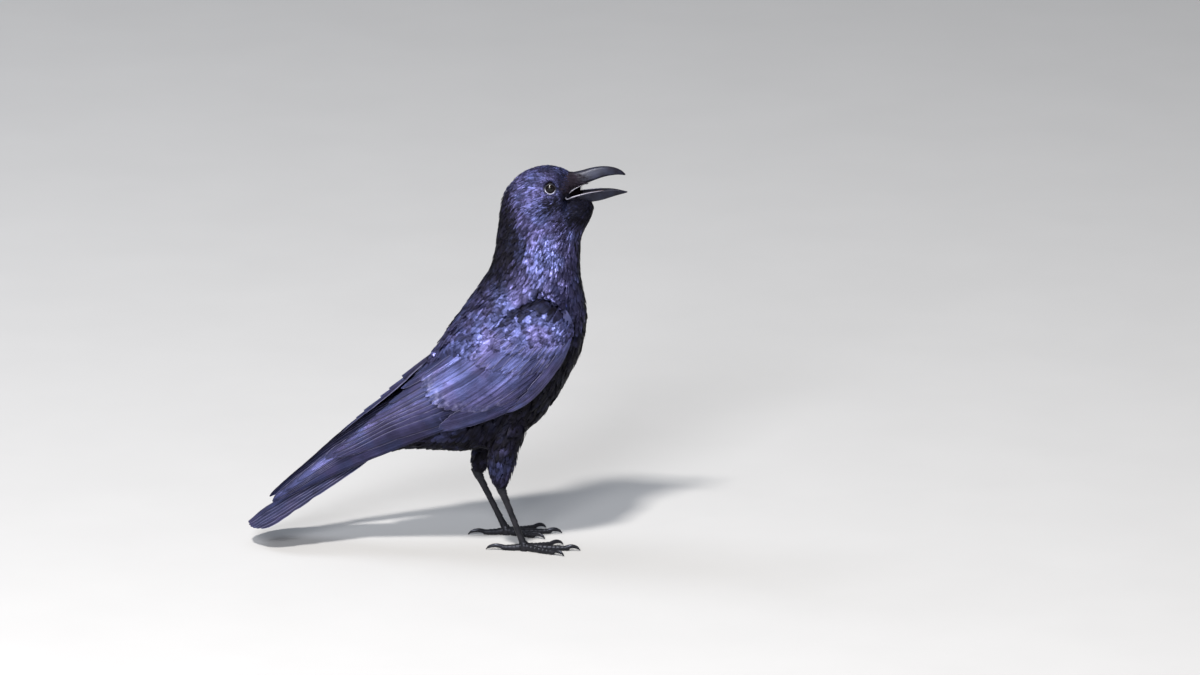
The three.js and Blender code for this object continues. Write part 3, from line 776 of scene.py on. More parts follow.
def makeSkin():
    body = joinedMeshes(nodeMeshes(fleshNodes), skin["overlap"] * mm)
    remesh = body.modifiers.new("remesh", "REMESH")
    remesh.mode = "VOXEL"
    remesh.voxel_size = skin["voxel"] * mm
    smooth = body.modifiers.new("smooth", "SMOOTH")
    smooth.factor = 0.5
    smooth.iterations = skin["smoothing"]
    body = bakedMesh(body, "skin")
    mesh = body.data
    places, normals = vertexPlaces(mesh), vertexNormals(mesh)
    tree = surfaceTree(body)
    reach = skin["deepest"] * mm
    thickness = np.full(len(places), reach)
    for i, (place, normal) in enumerate(zip(places, normals)):
        start = Vector(place) - Vector(normal) * 1e-4
        hit = tree.ray_cast(start, -Vector(normal), reach)
        if hit[0] is not None:
            thickness[i] = hit[3]
    inset = skin["overlap"] * mm + coatDepth(places)
    inset = np.minimum(inset, thickness * skin["mostOfThickness"])
    number, gap = nearWing(places)
    _, _, ahead, downwards, out = (part[number] for part in wingAt)
    flip = np.where(places[:, 1:2] < 0, (1, -1, 1), (1, 1, 1))
    facing = smoothStep(0, 0.5, (normals * flip * out).sum(1))
    along, down = wingAt[0][number].T
    pad = out * (facing * (wingDepth(number) + skin["overlap"]))[:, None]
    pad += downwards * (wingCoat["rim"] * smoothStep(*wingCoat["rimSpan"], down))[:, None]
    pad += ahead * (wingCoat["rim"] * smoothStep(*wingCoat["endSpan"], along))[:, None]
    onWing = (smoothStep(*wingCoat["reach"], gap) * smoothStep(*wingCoat["root"], along))[:, None]
    places = places - mix(normals * inset[:, None], pad * flip * mm, onWing)
    places = evened(mesh, places, skin["evening"])
    # the leg's feathered part narrows to the heel
    for heel in skin["heels"]:
        axis = np.array(heel) * mm
        offset = places[:, :2] - axis
        onLeg = (places[:, 1] * heel[1] > 0) & (np.abs(offset[:, 0]) < skin["heelReach"] * mm)
        narrow = mix(skin["heelWidth"], 1, smoothStep(*skin["heelLevels"], places[:, 2] / mm))[:, None]
        places[:, :2] = np.where(onLeg[:, None], axis + offset * narrow, places[:, :2])
    # at the root of the bill the skin slips under the horn
    x, _, z = (places / mm).T
    overJaw = z - np.interp(x, *skin["chin"])
    browX, browZ = skin["browSpans"]
    places[:, 1] *= 1 - skin["browNarrow"] * smoothStep(*browX, x) * smoothStep(*browZ, z)
    over = z > skin["mouthLevel"]
    upperShare = smoothStep(*skin["billRoot"], x) * over
    lowerShare = smoothStep(*skin["jawRoot"], x) * smoothStep(*skin["jawSink"], overJaw) * ~over
    for shape, shares in ((upperTree, upperShare), (jawTree, lowerShare)):
        for i in np.flatnonzero(shares):
            near, way, _, _ = shape.find_nearest(Vector(places[i]))
            places[i] = mix(places[i], np.array(near) - np.array(way) * 0.5 * mm, shares[i])
    # and it gives way at the corners of the mouth
    corner = skin["corner"]
    climb = (x - corner["origin"]) * corner["climb"]
    inCorner = smoothStep(*corner["start"], x) * smoothStep(*corner["lower"], z)
    inCorner *= smoothStep(*(level + climb for level in corner["upper"]), z)
    places[:, 1] *= mix(1, corner["width"], inCorner)
    # under each eye the skin goes in, so that the eyeball shows
    for side in sides.values():
        centre = np.array(eye["place"]) * (1, side, 1) * mm
        offset = places - centre
        radial = np.hypot(offset[:, 0], offset[:, 2])
        inside = (radial < skin["eyeOpening"] * mm) & (offset[:, 1] * side > 0)
        places[inside, 1] = centre[1] + side * (eye["radius"] - skin["behindBall"]) * mm * 0.8
    moveVertices(mesh, places)
    # the skin keeps the coat's gloss and painted light and shade
    storeAttribute(mesh, "gloss", glossAt(places, onWing[:, 0], shoulderPocket(number)))
    bpy.context.view_layer.objects.active = body
    body.select_set(True)
    bpy.ops.object.mode_set(mode="EDIT")
    bpy.ops.mesh.select_all(action="SELECT")
    bpy.ops.uv.smart_project(angle_limit=math.radians(66), island_margin=0.002)
    bpy.ops.object.mode_set(mode="OBJECT")
    body.select_set(False)
    mesh.uv_layers.active.name = "OFBake"
    mesh.materials.append(skinMaterial())
    return body


skinPiece = makeSkin()
print("skin made,", len(skinPiece.data.polygons), "faces")

# The coat of small feathers: where they lie, how long and how wide they are

# Combed strokes on the left half: place, direction, length, half width, how far the tip stands off
strokes = [
    ((116, 0, 346), (-1.00, 0.00, 0.15), 4.0, 0.56, 0.5),  # forehead
    ((95, 9, 350), (-1.00, 0.08, -0.05), 5.5, 0.59, 1.1),  # crown
    ((76, 9, 343), (-0.85, 0.10, -0.50), 7.5, 0.84, 1.4),
    ((112, 14, 335), (-1.00, 0.30, -0.05), 3.2, 0.42, 0.4),  # lore
    ((100, 17, 343), (-1.00, 0.15, 0.00), 4.0, 0.49, 0.7),
    ((103, 19, 324), (-0.95, 0.15, -0.40), 4.2, 0.49, 0.8),  # below the eye
    ((84, 22, 328), (-0.95, 0.05, -0.30), 7.5, 0.59, 1.2),  # ear coverts
    ((100, 22, 308), (-0.75, 0.05, -0.65), 7.5, 0.66, 1.4),
    ((124, 14, 312), (-0.85, 0.20, -0.45), 4.5, 0.63, 0.8),
    ((138, 4, 313), (-0.65, 0.10, -0.75), 6.0, 0.63, 0.7),  # chin
    ((131, 8, 300), (-0.30, 0.00, -0.95), 9.5, 0.91, 0.7),  # throat
    ((60, 8, 326), (-0.30, 0.00, -0.95), 11.0, 0.91, 2.0),  # nape
    ((70, 24, 310), (-0.45, 0.10, -0.90), 10.5, 0.98, 1.2),
    ((95, 28, 292), (-0.28, 0.00, -0.96), 11.0, 1.14, 1.4),  # neck
    ((54, 8, 295), (-0.12, 0.00, -1.00), 14.0, 1.37, 0.9),
    ((128, 8, 280), (-0.05, 0.00, -1.00), 12.0, 1.22, 0.8),
    ((92, 36, 265), (-0.38, 0.05, -0.92), 14.0, 1.44, 1.2),
    ((45, 12, 250), (-0.60, 0.10, -0.80), 16.0, 1.6, 1.3),  # mantle
    ((12, 10, 205), (-0.68, 0.05, -0.73), 18.0, 2.5, 1.4),  # back
    ((-28, 8, 152), (-0.72, 0.00, -0.69), 19.0, 3.0, 1.4),
    ((-58, 8, 112), (-0.84, 0.00, -0.54), 24.0, 3.4, 1.4),  # over the tail
    ((131, 8, 226), (-0.02, 0.00, -1.00), 15.0, 2.0, 1.5),  # breast
    ((112, 38, 240), (-0.62, 0.30, -0.72), 18.0, 2.3, 2.0),  # over the wrist
    ((127, 10, 185), (-0.30, 0.00, -0.95), 16.0, 2.2, 1.6),
    ((95, 38, 150), (-0.65, 0.05, -0.75), 18.0, 2.5, 1.8),  # flank
    ((86, 8, 108), (-0.75, 0.00, -0.66), 18.0, 2.3, 2.2),  # belly
    ((35, 8, 92), (-1.00, 0.00, -0.12), 18.0, 2.3, 2.2),
    ((0, 30, 118), (-0.90, 0.00, -0.35), 18.0, 2.6, 1.8),
    ((-28, 6, 90), (-0.98, 0.00, -0.08), 26.0, 4.0, 1.6),  # under the tail
    ((60, 35, 118), (-0.35, 0.10, -0.92), 19.0, 2.0, 2.6),  # thigh
    ((52, 27, 88), (-0.25, 0.00, -0.97), 14.0, 1.6, 2.4),
    ((44, 27, 66), (-0.05, 0.00, -0.99), 11.0, 1.2, 1.6),  # heel
    ((120, 45, 200), (-0.55, 0.20, -0.80), 7.0, 1.4, 0.5),  # wrist
    ((100, 52, 212), (-0.74, 0.10, -0.66), 8.5, 1.7, 0.5),  # small coverts
    ((104, 46, 165), (-0.66, 0.02, -0.75), 7.0, 1.4, 0.4),
    ((72, 57, 180), (-0.80, -0.05, -0.60), 11.0, 2.2, 0.6),
    ((70, 45, 225), (-0.72, 0.05, -0.68), 14.0, 2.2, 1.0),  # shoulder
    ((35, 32, 208), (-0.72, 0.03, -0.70), 18.0, 2.8, 1.4),
]
coat = dict(
    overlap=0.5,
    clearance=0.15,
    camber=0.12,
    arch=0.78,
    jitterTurn=7,
    jitterLength=0.16,
    jitterLift=0.2,
    jitterGloss=3.2,
    roll=0.28,
    patch=0.003,
    candidates=230000,
)


def combAt(places, out):
    # blends the strokes near each place: its direction on the surface, and length, half width and lift
    spots = np.array([stroke[0] for stroke in strokes], float) * mm
    ways = unit(np.array([stroke[1] for stroke in strokes], float))
    sizes = np.array([stroke[2:] for stroke in strokes], float)
    mirrored = places.copy()
    left = places[:, 1] >= 0
    mirrored[:, 1] = np.abs(places[:, 1])
    gap = np.linalg.norm(mirrored[:, None] - spots[None], axis=2)
    weights = 1 / (gap + 2 * mm) ** 4
    weights /= weights.sum(1, keepdims=True)
    way = weights @ ways
    way[~left, 1] *= -1
    sizes = weights @ sizes
    # the feathers part round the eyelids
    gap = mirrored - np.array(eye["place"]) * mm
    reach = np.hypot(gap[:, 0], gap[:, 2]) / mm
    away = np.stack([gap[:, 0], np.zeros(len(gap)), gap[:, 2]], 1) / (reach * mm)[:, None]
    nearness = smoothStep(10, 5.5, reach) * (mirrored[:, 1] > 8 * mm)
    inwards = np.minimum((way * away).sum(1), 0)
    way -= away * (inwards * nearness * 1.25)[:, None]
    sizes[:, 0] = mix(sizes[:, 0], np.minimum(sizes[:, 0], 2.4), nearness)
    sizes[:, 1] = mix(sizes[:, 1], np.minimum(sizes[:, 1], 0.6), nearness)
    way -= out * (way * out).sum(1, keepdims=True)
    return unit(way), sizes


def scatterRoots(mesh, keep, candidates):
    # places for feathers over the skin, closer together where the feathers are smaller
    mesh.calc_loop_triangles()
    corners = readValues(mesh.loop_triangles, "vertices", 3, np.int32)
    loops = readValues(mesh.loop_triangles, "loops", 3, np.int32)
    uv = readValues(mesh.uv_layers["OFBake"].data, "uv", 2)
    vertices, normals = vertexPlaces(mesh), vertexNormals(mesh)
    a, b, c = (vertices[corners[:, k]] for k in range(3))
    area = np.linalg.norm(np.cross(b - a, c - a), axis=1) / 2
    middle = (a + b + c) / 3
    _, sizes = combAt(middle, unit(np.cross(b - a, c - a)))
    spacing = coat["overlap"] * np.sqrt(sizes[:, 0] * sizes[:, 1])
    wanted = area * keep(middle) / spacing**2
    chosen = rng.choice(len(area), candidates, p=wanted / wanted.sum())
    first, second = rng.random(candidates), rng.random(candidates)
    over = first + second > 1
    first[over], second[over] = 1 - first[over], 1 - second[over]
    share = np.stack([1 - first - second, first, second], 1)
    places = (vertices[corners[chosen]] * share[..., None]).sum(1)
    out = unit((normals[corners[chosen]] * share[..., None]).sum(1))
    roots = (uv[loops[chosen]] * share[..., None]).sum(1)
    # a candidate stays if no earlier one is nearer than its spacing
    room = spacing[chosen] * mm
    level = np.round(np.log(room) / np.log(1.25)).astype(int)
    neighbours = list(itertools.product((-1, 0, 1), repeat=3))
    taken, kept = {}, []
    for i in range(candidates):
        cell = 1.25 ** level[i]
        cx, cy, cz = (int(v) for v in np.floor(places[i] / cell))
        near = (taken.get((level[i], cx + dx, cy + dy, cz + dz), ()) for dx, dy, dz in neighbours)
        gaps = (places[i] - places[other] for others in near for other in others)
        if not any(gap @ gap < room[i] ** 2 for gap in gaps):
            taken.setdefault((level[i], cx, cy, cz), []).append(i)
            kept.append(i)
    return places[kept], out[kept], roots[kept]


def rootsObject(name, places, out, lie, sizes, lift, uv, gloss=None):
    roots = meshObject(name, places, [])
    count = len(places)
    fields = dict(out=out, lie=lie, size=sizes, lift=lift, roll=rng.normal(0, coat["roll"], count))
    fields.update(tone=rng.random(count), gloss=np.ones(count) if gloss is None else gloss)
    fields["rootUv"] = np.concatenate([uv, np.zeros((count, 1))], 1)
    for field, values in fields.items():
        storeAttribute(roots.data, field, values)
    return roots


def smallVane(name, rows, widths, thickness):
    # one feather of unit length and unit half width; rows are places along it
    points, vane = [], []
    last = len(rows) - 1
    for row, (x, width) in enumerate(zip(rows, widths)):
        for y in (-1, 0, 1):
            points.append((x, y * width, 0))
            vane.append((x, y * width, thickness * mm * (0.6 if y == 0 else 0)))
    for row in range(1, last):
        points.append((rows[row], 0, 0))
        vane.append((rows[row], 0, -thickness * mm * 0.4))
    under = {row: 3 * len(rows) + row - 1 for row in range(1, last)}
    under[0], under[last] = 1, 3 * last + 1
    faces = []
    for row in range(last):
        low, high = 3 * row, 3 * row + 3
        faces.append((low, low + 1, high + 1, high))
        faces.append((low + 1, low + 2, high + 2, high + 1))
        faces.append((low, high, under[row + 1], under[row]))
        faces.append((low + 2, under[row], under[row + 1], high + 2))
    thing = meshObject(name, points, faces)
    mesh = thing.data
    mesh.validate()
    storeAttribute(mesh, "vane", np.array(vane)[: len(mesh.vertices)])
    border = {(3 * row + side, 3 * row + side + 3) for row in range(last) for side in (0, 2)}
    markSharp(mesh, [tuple(sorted(edge.vertices)) in border for edge in mesh.edges])
    return turnOutwards(thing)


def namedField(tree, name, kind="FLOAT_VECTOR"):
    node = addNode(tree, "GeometryNodeInputNamedAttribute", {"Name": name}, data_type=kind)
    return node.outputs["Attribute"]


def coatTree():
    # lays one vane on every root, bends it to the form below and gives it a patch of the unwrap
    tree = bpy.data.node_groups.new("coatTree", "GeometryNodeTree")
    sockets = [("Geometry", "Geometry"), ("Vane", "Object"), ("Form", "Object"), ("Clearance", "Float")]
    sockets += [("Camber", "Float"), ("Patch", "Float"), ("Finish", "Material")]
    for name, kind in sockets:
        tree.interface.new_socket(name, in_out="INPUT", socket_type="NodeSocket" + kind)
    tree.interface.new_socket("Geometry", in_out="OUTPUT", socket_type="NodeSocketGeometry")
    given = addNode(tree, "NodeGroupInput").outputs
    vaneShape = addNode(tree, "GeometryNodeObjectInfo", {"Object": given["Vane"]}).outputs["Geometry"]
    form = addNode(tree, "GeometryNodeObjectInfo", {"Object": given["Form"]}).outputs["Geometry"]
    axes = {"Primary Axis": namedField(tree, "out"), "Secondary Axis": namedField(tree, "lie")}
    turn = addNode(tree, "FunctionNodeAxesToRotation", axes, primary_axis="Z", secondary_axis="X")
    placing = {"Points": given["Geometry"], "Instance": vaneShape, "Rotation": turn.outputs[0]}
    placing["Scale"] = namedField(tree, "size")
    placed = addNode(tree, "GeometryNodeInstanceOnPoints", placing).outputs["Instances"]
    real = addNode(tree, "GeometryNodeRealizeInstances", {"Geometry": placed}).outputs["Geometry"]

    here = addNode(tree, "GeometryNodeInputPosition").outputs["Position"]
    facing = addNode(tree, "GeometryNodeInputNormal").outputs["Normal"]
    below, upwards = (
        addNode(
            tree, "GeometryNodeSampleNearestSurface",
            {"Mesh": form, "Value": value, "Sample Position": here}, data_type="FLOAT_VECTOR",
        ).outputs["Value"]
        for value in (here, facing)
    )
    vane = namedField(tree, "vane")
    vaneParts = addNode(tree, "ShaderNodeSeparateXYZ", {0: vane}).outputs
    sizeParts = addNode(tree, "ShaderNodeSeparateXYZ", {0: namedField(tree, "size")}).outputs
    # the vane arches up and flattens to its tip, bends down to its edges and rolls a little to one side
    left = oneMinus(tree, vaneParts["X"])
    swell = times(tree, oneMinus(tree, times(tree, left, left)), coat["arch"])
    profile = plus(tree, swell, times(tree, vaneParts["X"], 1 - coat["arch"]))
    rise = plus(tree, times(tree, profile, namedField(tree, "lift", "FLOAT")), vaneParts["Z"])
    rise = plus(tree, rise, given["Clearance"])
    droop = times(tree, times(tree, vaneParts["Y"], vaneParts["Y"]), sizeParts["Y"], given["Camber"])
    rise = mathNode(tree, "SUBTRACT", rise, droop)
    tilt = times(tree, vaneParts["Y"], sizeParts["Y"], vaneParts["X"])
    rise = plus(tree, rise, times(tree, tilt, namedField(tree, "roll", "FLOAT")))
    lifted = vectorNode(tree, "SCALE", vectorNode(tree, "NORMALIZE", upwards), scale=rise)
    place = vectorNode(tree, "ADD", below, lifted)
    moving = {"Geometry": real, "Position": place}
    moved = addNode(tree, "GeometryNodeSetPosition", moving).outputs["Geometry"]

    onPatch = vectorNode(tree, "SUBTRACT", vane, (0.5, 0, 0))
    onPatch = vectorNode(tree, "MULTIPLY", onPatch, (1, 0.5, 0))
    onPatch = vectorNode(tree, "SCALE", onPatch, scale=given["Patch"])
    onPatch = vectorNode(tree, "ADD", namedField(tree, "rootUv"), onPatch)
    unwrap = {"Geometry": moved, "Name": "OFBake", "Value": onPatch}
    mapped = addNode(tree, "GeometryNodeStoreNamedAttribute", unwrap, data_type="FLOAT2", domain="CORNER")
    current = mapped.outputs["Geometry"]
    for name in ("out", "lie", "size", "lift", "roll", "rootUv"):
        removing = addNode(tree, "GeometryNodeRemoveAttribute", {"Geometry": current, "Name": name})
        current = removing.outputs["Geometry"]
    finished = {"Geometry": current, "Material": given["Finish"]}
    done = addNode(tree, "GeometryNodeSetMaterial", finished).outputs["Geometry"]
    addNode(tree, "NodeGroupOutput", {"Geometry": done})
    return tree


def layCoat(name, roots, vane, form, finish, clearance=None):
    modifier = roots.modifiers.new("coat", "NODES")
    modifier.node_group = coatNodes
    values = dict(Vane=vane, Form=form, Camber=coat["camber"], Patch=coat["patch"], Finish=finish)
    values["Clearance"] = (coat["clearance"] if clearance is None else clearance) * mm
    for socket in coatNodes.interface.items_tree:
        if socket.in_out == "INPUT" and socket.name in values:
            modifier[socket.identifier] = values[socket.name]
    return bakedMesh(roots, name)


coatNodes = coatTree()
coatFinish = plumageMaterial("coatFeathers", **plumageFinishes["coatFeathers"])
pointedVane = smallVane("pointedVane", (0, 0.3, 0.62, 0.85, 1), (0.35, 0.85, 1, 0.62, 0.06), 0.22)
roundVane = smallVane("roundVane", (0, 0.3, 0.7, 0.92, 1), (0.35, 0.9, 1, 0.72, 0.3), 0.25)


def wingCover():
    cover = joinedMeshes(nodeMeshes(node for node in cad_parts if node.startswith("wing_")), 0)
    tree = surfaceTree(cover)
    bpy.data.objects.remove(cover)
    return tree


# Where no feathers grow: round the eye, on and under the horn, inside the mouth and behind the rump
bare = dict(
    eye=5.5, eyeSide=9, horn=(119, 331), jaw=(110, 309), underHorn=0.1, rump=-62,
    mouth=(111, 150), mouthEdges=[(321.5, 0.12), (326.5, 0.75)],  # level at the corner and how it climbs
)
# Levels and distances forwards where one region of the coat meets the next
regions = dict(face=318, head=290, neck=255, cheek=84, breast=40)


def bodyKeep(middle):
    # feathers everywhere but inside the mouth, on the eyes and where other parts hide them
    x, y, z = (middle / mm).T
    keep = np.ones(len(middle))
    eyeGap = np.hypot(x - eye["place"][0], z - eye["place"][2])
    keep[(eyeGap < bare["eye"]) & (np.abs(y) > bare["eyeSide"])] = 0
    keep[(x > bare["horn"][0]) & (z > bare["horn"][1])] = 0
    for i in np.flatnonzero((x > bare["jaw"][0]) & (z > bare["jaw"][1]) & (keep > 0)):
        near, way, _, _ = jawTree.find_nearest(Vector(middle[i]))
        keep[i] = (Vector(middle[i]) - near) @ way > bare["underHorn"] * mm
    start, end = bare["mouth"]
    lower, upper = (level + (x - start) * climb for level, climb in bare["mouthEdges"])
    keep[(x > start) & (x < end) & (z > lower) & (z < upper)] = 0
    keep[x < bare["rump"]] = 0
    return keep


def feathersOnBody(candidates):
    places, out, uv = scatterRoots(skinPiece.data, bodyKeep, candidates)
    cover = wingCover()
    number, gap = nearWing(places)
    along, down = wingAt[0][number].T
    onWing = (gap < wingCoat["thickness"]) & (along > 0.01)
    hidden = onWing & (along > np.interp(down, *wingCoat["edge"]))
    for i in np.flatnonzero(~onWing):
        start = Vector(places[i] + out[i] * 0.5 * mm)
        hidden[i] = cover.ray_cast(start, Vector(out[i]), 45 * mm)[0] is not None
    places, out, uv = places[~hidden], out[~hidden], uv[~hidden]
    number, onWing, gap = number[~hidden], onWing[~hidden], gap[~hidden]
    lie, sizes = combAt(places, out)
    swing = np.radians(rng.normal(0, coat["jitterTurn"], len(places)))
    across = np.cross(out, lie)
    lie = lie * np.cos(swing)[:, None] + across * np.sin(swing)[:, None]
    stretch = 1 + rng.normal(0, coat["jitterLength"], len(places))
    size = np.stack([sizes[:, 0] * stretch * mm, sizes[:, 1] * mm, np.ones(len(places))], 1)
    lift = sizes[:, 2] * mm * (1 + rng.normal(0, coat["jitterLift"], len(places)))
    # feathers over the shoulder end along the arch, and their tips stand off
    arch = [np.interp(wingAt[0][n][0], *wingCoat["arch"]) for n in number]
    reached, _ = nearWing(places + lie * size[:, :1])
    above = np.maximum(arch - wingAt[0][number][:, 1], 1e-4)
    beyond = wingAt[0][reached][:, 1] - np.interp(wingAt[0][reached][:, 0], *wingCoat["arch"])
    x, _, z = (places / mm).T
    crossing = (gap < 14) & (above > 1e-4) & (beyond > 0) & (wingAt[0][reached][:, 0] < 0.3) & (x > 60)
    size[crossing, 0] *= np.clip(above[crossing] / (above + beyond)[crossing] + 0.1, 0.35, 1)
    lift = lift + np.where(crossing, wingCoat["ledge"] * mm, 0)
    pocket = shoulderPocket(number)
    lift = lift + np.where(onWing, wingDepth(number) * mm * mix(0.75, 0.5, pocket), coatDepth(places) * 0.75)
    # the edges of the painted light and shade are made ragged
    jittered = places + rng.normal(0, coat["jitterGloss"] * mm, places.shape)
    gloss = glossAt(jittered, onWing.astype(float), pocket)
    face, head, neck, cheek, breast = (regions[name] for name in ("face", "head", "neck", "cheek", "breast"))
    groups = dict(
        face_feathers=(z > face) & (x > cheek),
        nape_feathers=(z > head) & (x <= cheek),
        throat_feathers=(z > head) & (z <= face) & (x > cheek),
        neck_feathers=(z > neck) & (z <= head),
        wing_small_coverts=onWing & (z <= neck),
        breast_feathers=~onWing & (z <= neck) & (x > breast),
        back_feathers=~onWing & (z <= neck) & (x <= breast),
    )
    pieces = []
    for name, chosen in groups.items():
        vane = roundVane if name in ("wing_small_coverts", "back_feathers") else pointedVane
        given = [part[chosen] for part in (places, out, lie, size, lift, uv, gloss)]
        roots = rootsObject(name, *given)
        pieces.append(layCoat(name, roots, vane, skinPiece, coatFinish))
        print(name, chosen.sum(), "feathers,", 40 * chosen.sum(), "triangles or so")
    return pieces


coatPieces = feathersOnBody(coat["candidates"])
print("coat laid")

# Wings and tail: each tier is a fan of feathers laid on the folded wing's outer surface


def tailSurface(spots):
    # spots: across -1 to 1, then along 0 at the rump to 1 at the tip
    across, along = np.asarray(spots, float).reshape(-1, 2).T
    half = mix(tail["halfRoot"], tail["halfTip"], np.sin(np.clip(along * 1.15, 0, 1) * math.pi / 2))
    half = half * (1 - 0.16 * smoothStep(0.7, 1, along))
    droop = tail["droop"] * np.abs(across) ** 1.5 * mix(0.75, 1, along)
    slope = math.radians(tail["slope"])
    fromTip = tail["length"] * (1 - along)
    x = tail["tip"][0] + fromTip * math.cos(slope)
    z = tail["tip"][1] + fromTip * math.sin(slope) - droop - tail["bend"] * smoothStep(0.88, 1.02, along)
    return np.stack([x, across * half, z], 1) * mm


longFeather = dict(
    rows=22,
    columns=(-1, -0.72, -0.4, -0.09, 0, 0.09, 0.4, 0.72, 1),
    rootWidth=0.45,  # of the full width, which the vane has from widest on
    widest=0.35,
    ragged=0.03,
    splitTo=0.86,  # how far the vane reaches where its barbs have parted
    thickness=(0.4, 0.2),
    ridge=(0.26, 0.08),  # how far the shaft stands up at the root and the tip
)


def spreadFeather(surface, up, root, tip, halfWidth, outer, heights, bow, roundness, cup, roof=0.0):
    # one flight feather on a surface; returns its points, faces and vane coordinates
    look, rows = longFeather, longFeather["rows"]
    share = 1 - (1 - np.linspace(0, 1, rows)) ** 1.5
    root, tip = np.array(root, float), np.array(tip, float)
    spots = mix(root, tip, share[:, None])
    spots[:, 1] += bow * 4 * share * (1 - share)
    middle = surface(spots)
    first, second = surfaceFrame(surface, spots)
    out = unit(np.cross(first, second)) * up
    ahead = unit(np.gradient(middle, axis=0))
    sideways = unit(np.cross(out, ahead))
    pairs = ((first, first), (first, second), (second, second), (first, sideways), (second, sideways))
    ff, fs, ss, bf, bs = ((one * other).sum(1) for one, other in pairs)
    determinant = ff * ss - fs * fs
    perLength = np.stack([(bf * ss - bs * fs) / determinant, (bs * ff - bf * fs) / determinant], 1)
    # the outer vane lies towards the second coordinate's growing side
    turn = np.sign((sideways * second).sum(1))
    nearTip = np.clip((share - roundness) / (1 - roundness), 0, 1)
    profile = mix(look["rootWidth"], 1, smoothStep(0, look["widest"], share))
    profile = profile * np.sqrt(1 - 0.985 * nearTip**2.2) * (1 - look["ragged"] * rng.random(rows))
    splits = rng.choice(rows - 5, 2, replace=False) + 4
    ends = (look["thickness"], look["ridge"], heights)
    thickness, ridge, lift = (mix(*pair, share) * mm for pair in ends)
    points, vane = [], []
    for face in (1, 0):
        for column in look["columns"]:
            edge = abs(column) == 1
            if not face and edge:
                continue
            reach = np.where(column * turn > 0, outer, 1.0) * halfWidth * mm * abs(column) * profile
            if edge:
                reach[splits] *= look["splitTo"]
            place = spots + perLength * (np.sign(column) * reach)[:, None]
            shaft = ridge if column == 0 else 0
            drop = (cup + roof * (column * turn < 0)) * mm * column**2
            height = lift - drop + (shaft if face else -thickness * (not edge))
            points.append(surface(place) + out * np.reshape(height, (-1, 1)))
            vane.append(np.stack([share, np.full(rows, column), np.zeros(rows)], 1))
    points, vane = np.concatenate(points), np.concatenate(vane)
    count = len(look["columns"])

    def index(column, row, face):
        if face or column in (0, count - 1):
            return column * rows + row
        return (count + column - 1) * rows + row

    faces = []
    for column in range(count - 1):
        for row in range(rows - 1):
            for face in (1, 0):
                corners = [index(column, row, face), index(column + 1, row, face)]
                corners += [index(column + 1, row + 1, face), index(column, row + 1, face)]
                faces.append(corners if face else corners[::-1])
        for row in (0, rows - 1):
            corners = [index(column, row, 1), index(column + 1, row, 1)]
            corners += [index(column + 1, row, 0), index(column, row, 0)]
            corners = list(dict.fromkeys(corners))
            faces.append(corners if row else corners[::-1])
    return points, faces, vane


def joinFeathers(name, feathers, finish, mirror):
    # joins laid feathers into one piece and gives each its own strip of the unwrap
    points, faces, vane, strip = [], [], [], []
    start = 0
    for number, (place, corners, marks) in enumerate(feathers):
        points.append(place * (1, mirror, 1))
        faces += [[start + k for k in face] for face in corners]
        vane.append(marks)
        strip.append(np.full(len(place), number))
        start += len(place)
    points, vane, strip = (np.concatenate(part) for part in (points, vane, strip))
    piece = turnOutwards(meshObject(name, points, faces, finish))
    mesh = piece.data
    storeAttribute(mesh, "vane", vane)
    storeAttribute(mesh, "tone", rng.random(len(feathers))[strip])
    corner = readValues(mesh.loops, "vertex_index", kind=np.int32)
    uv = np.stack([vane[:, 0] * 0.98 + 0.01, (strip + 0.5 + vane[:, 1] * 0.42) / len(feathers)], 1)
    layer = mesh.uv_layers.new(name="OFBake")
    layer.data.foreach_set("uv", uv[corner].astype(np.float32).ravel())
    edges = readValues(mesh.edges, "vertices", 2, np.int32)
    rim = (np.abs(vane[:, 1]) == 1) | (vane[:, 0] == 0) | (vane[:, 0] == 1)
    markSharp(mesh, rim[edges].all(1))
    return piece


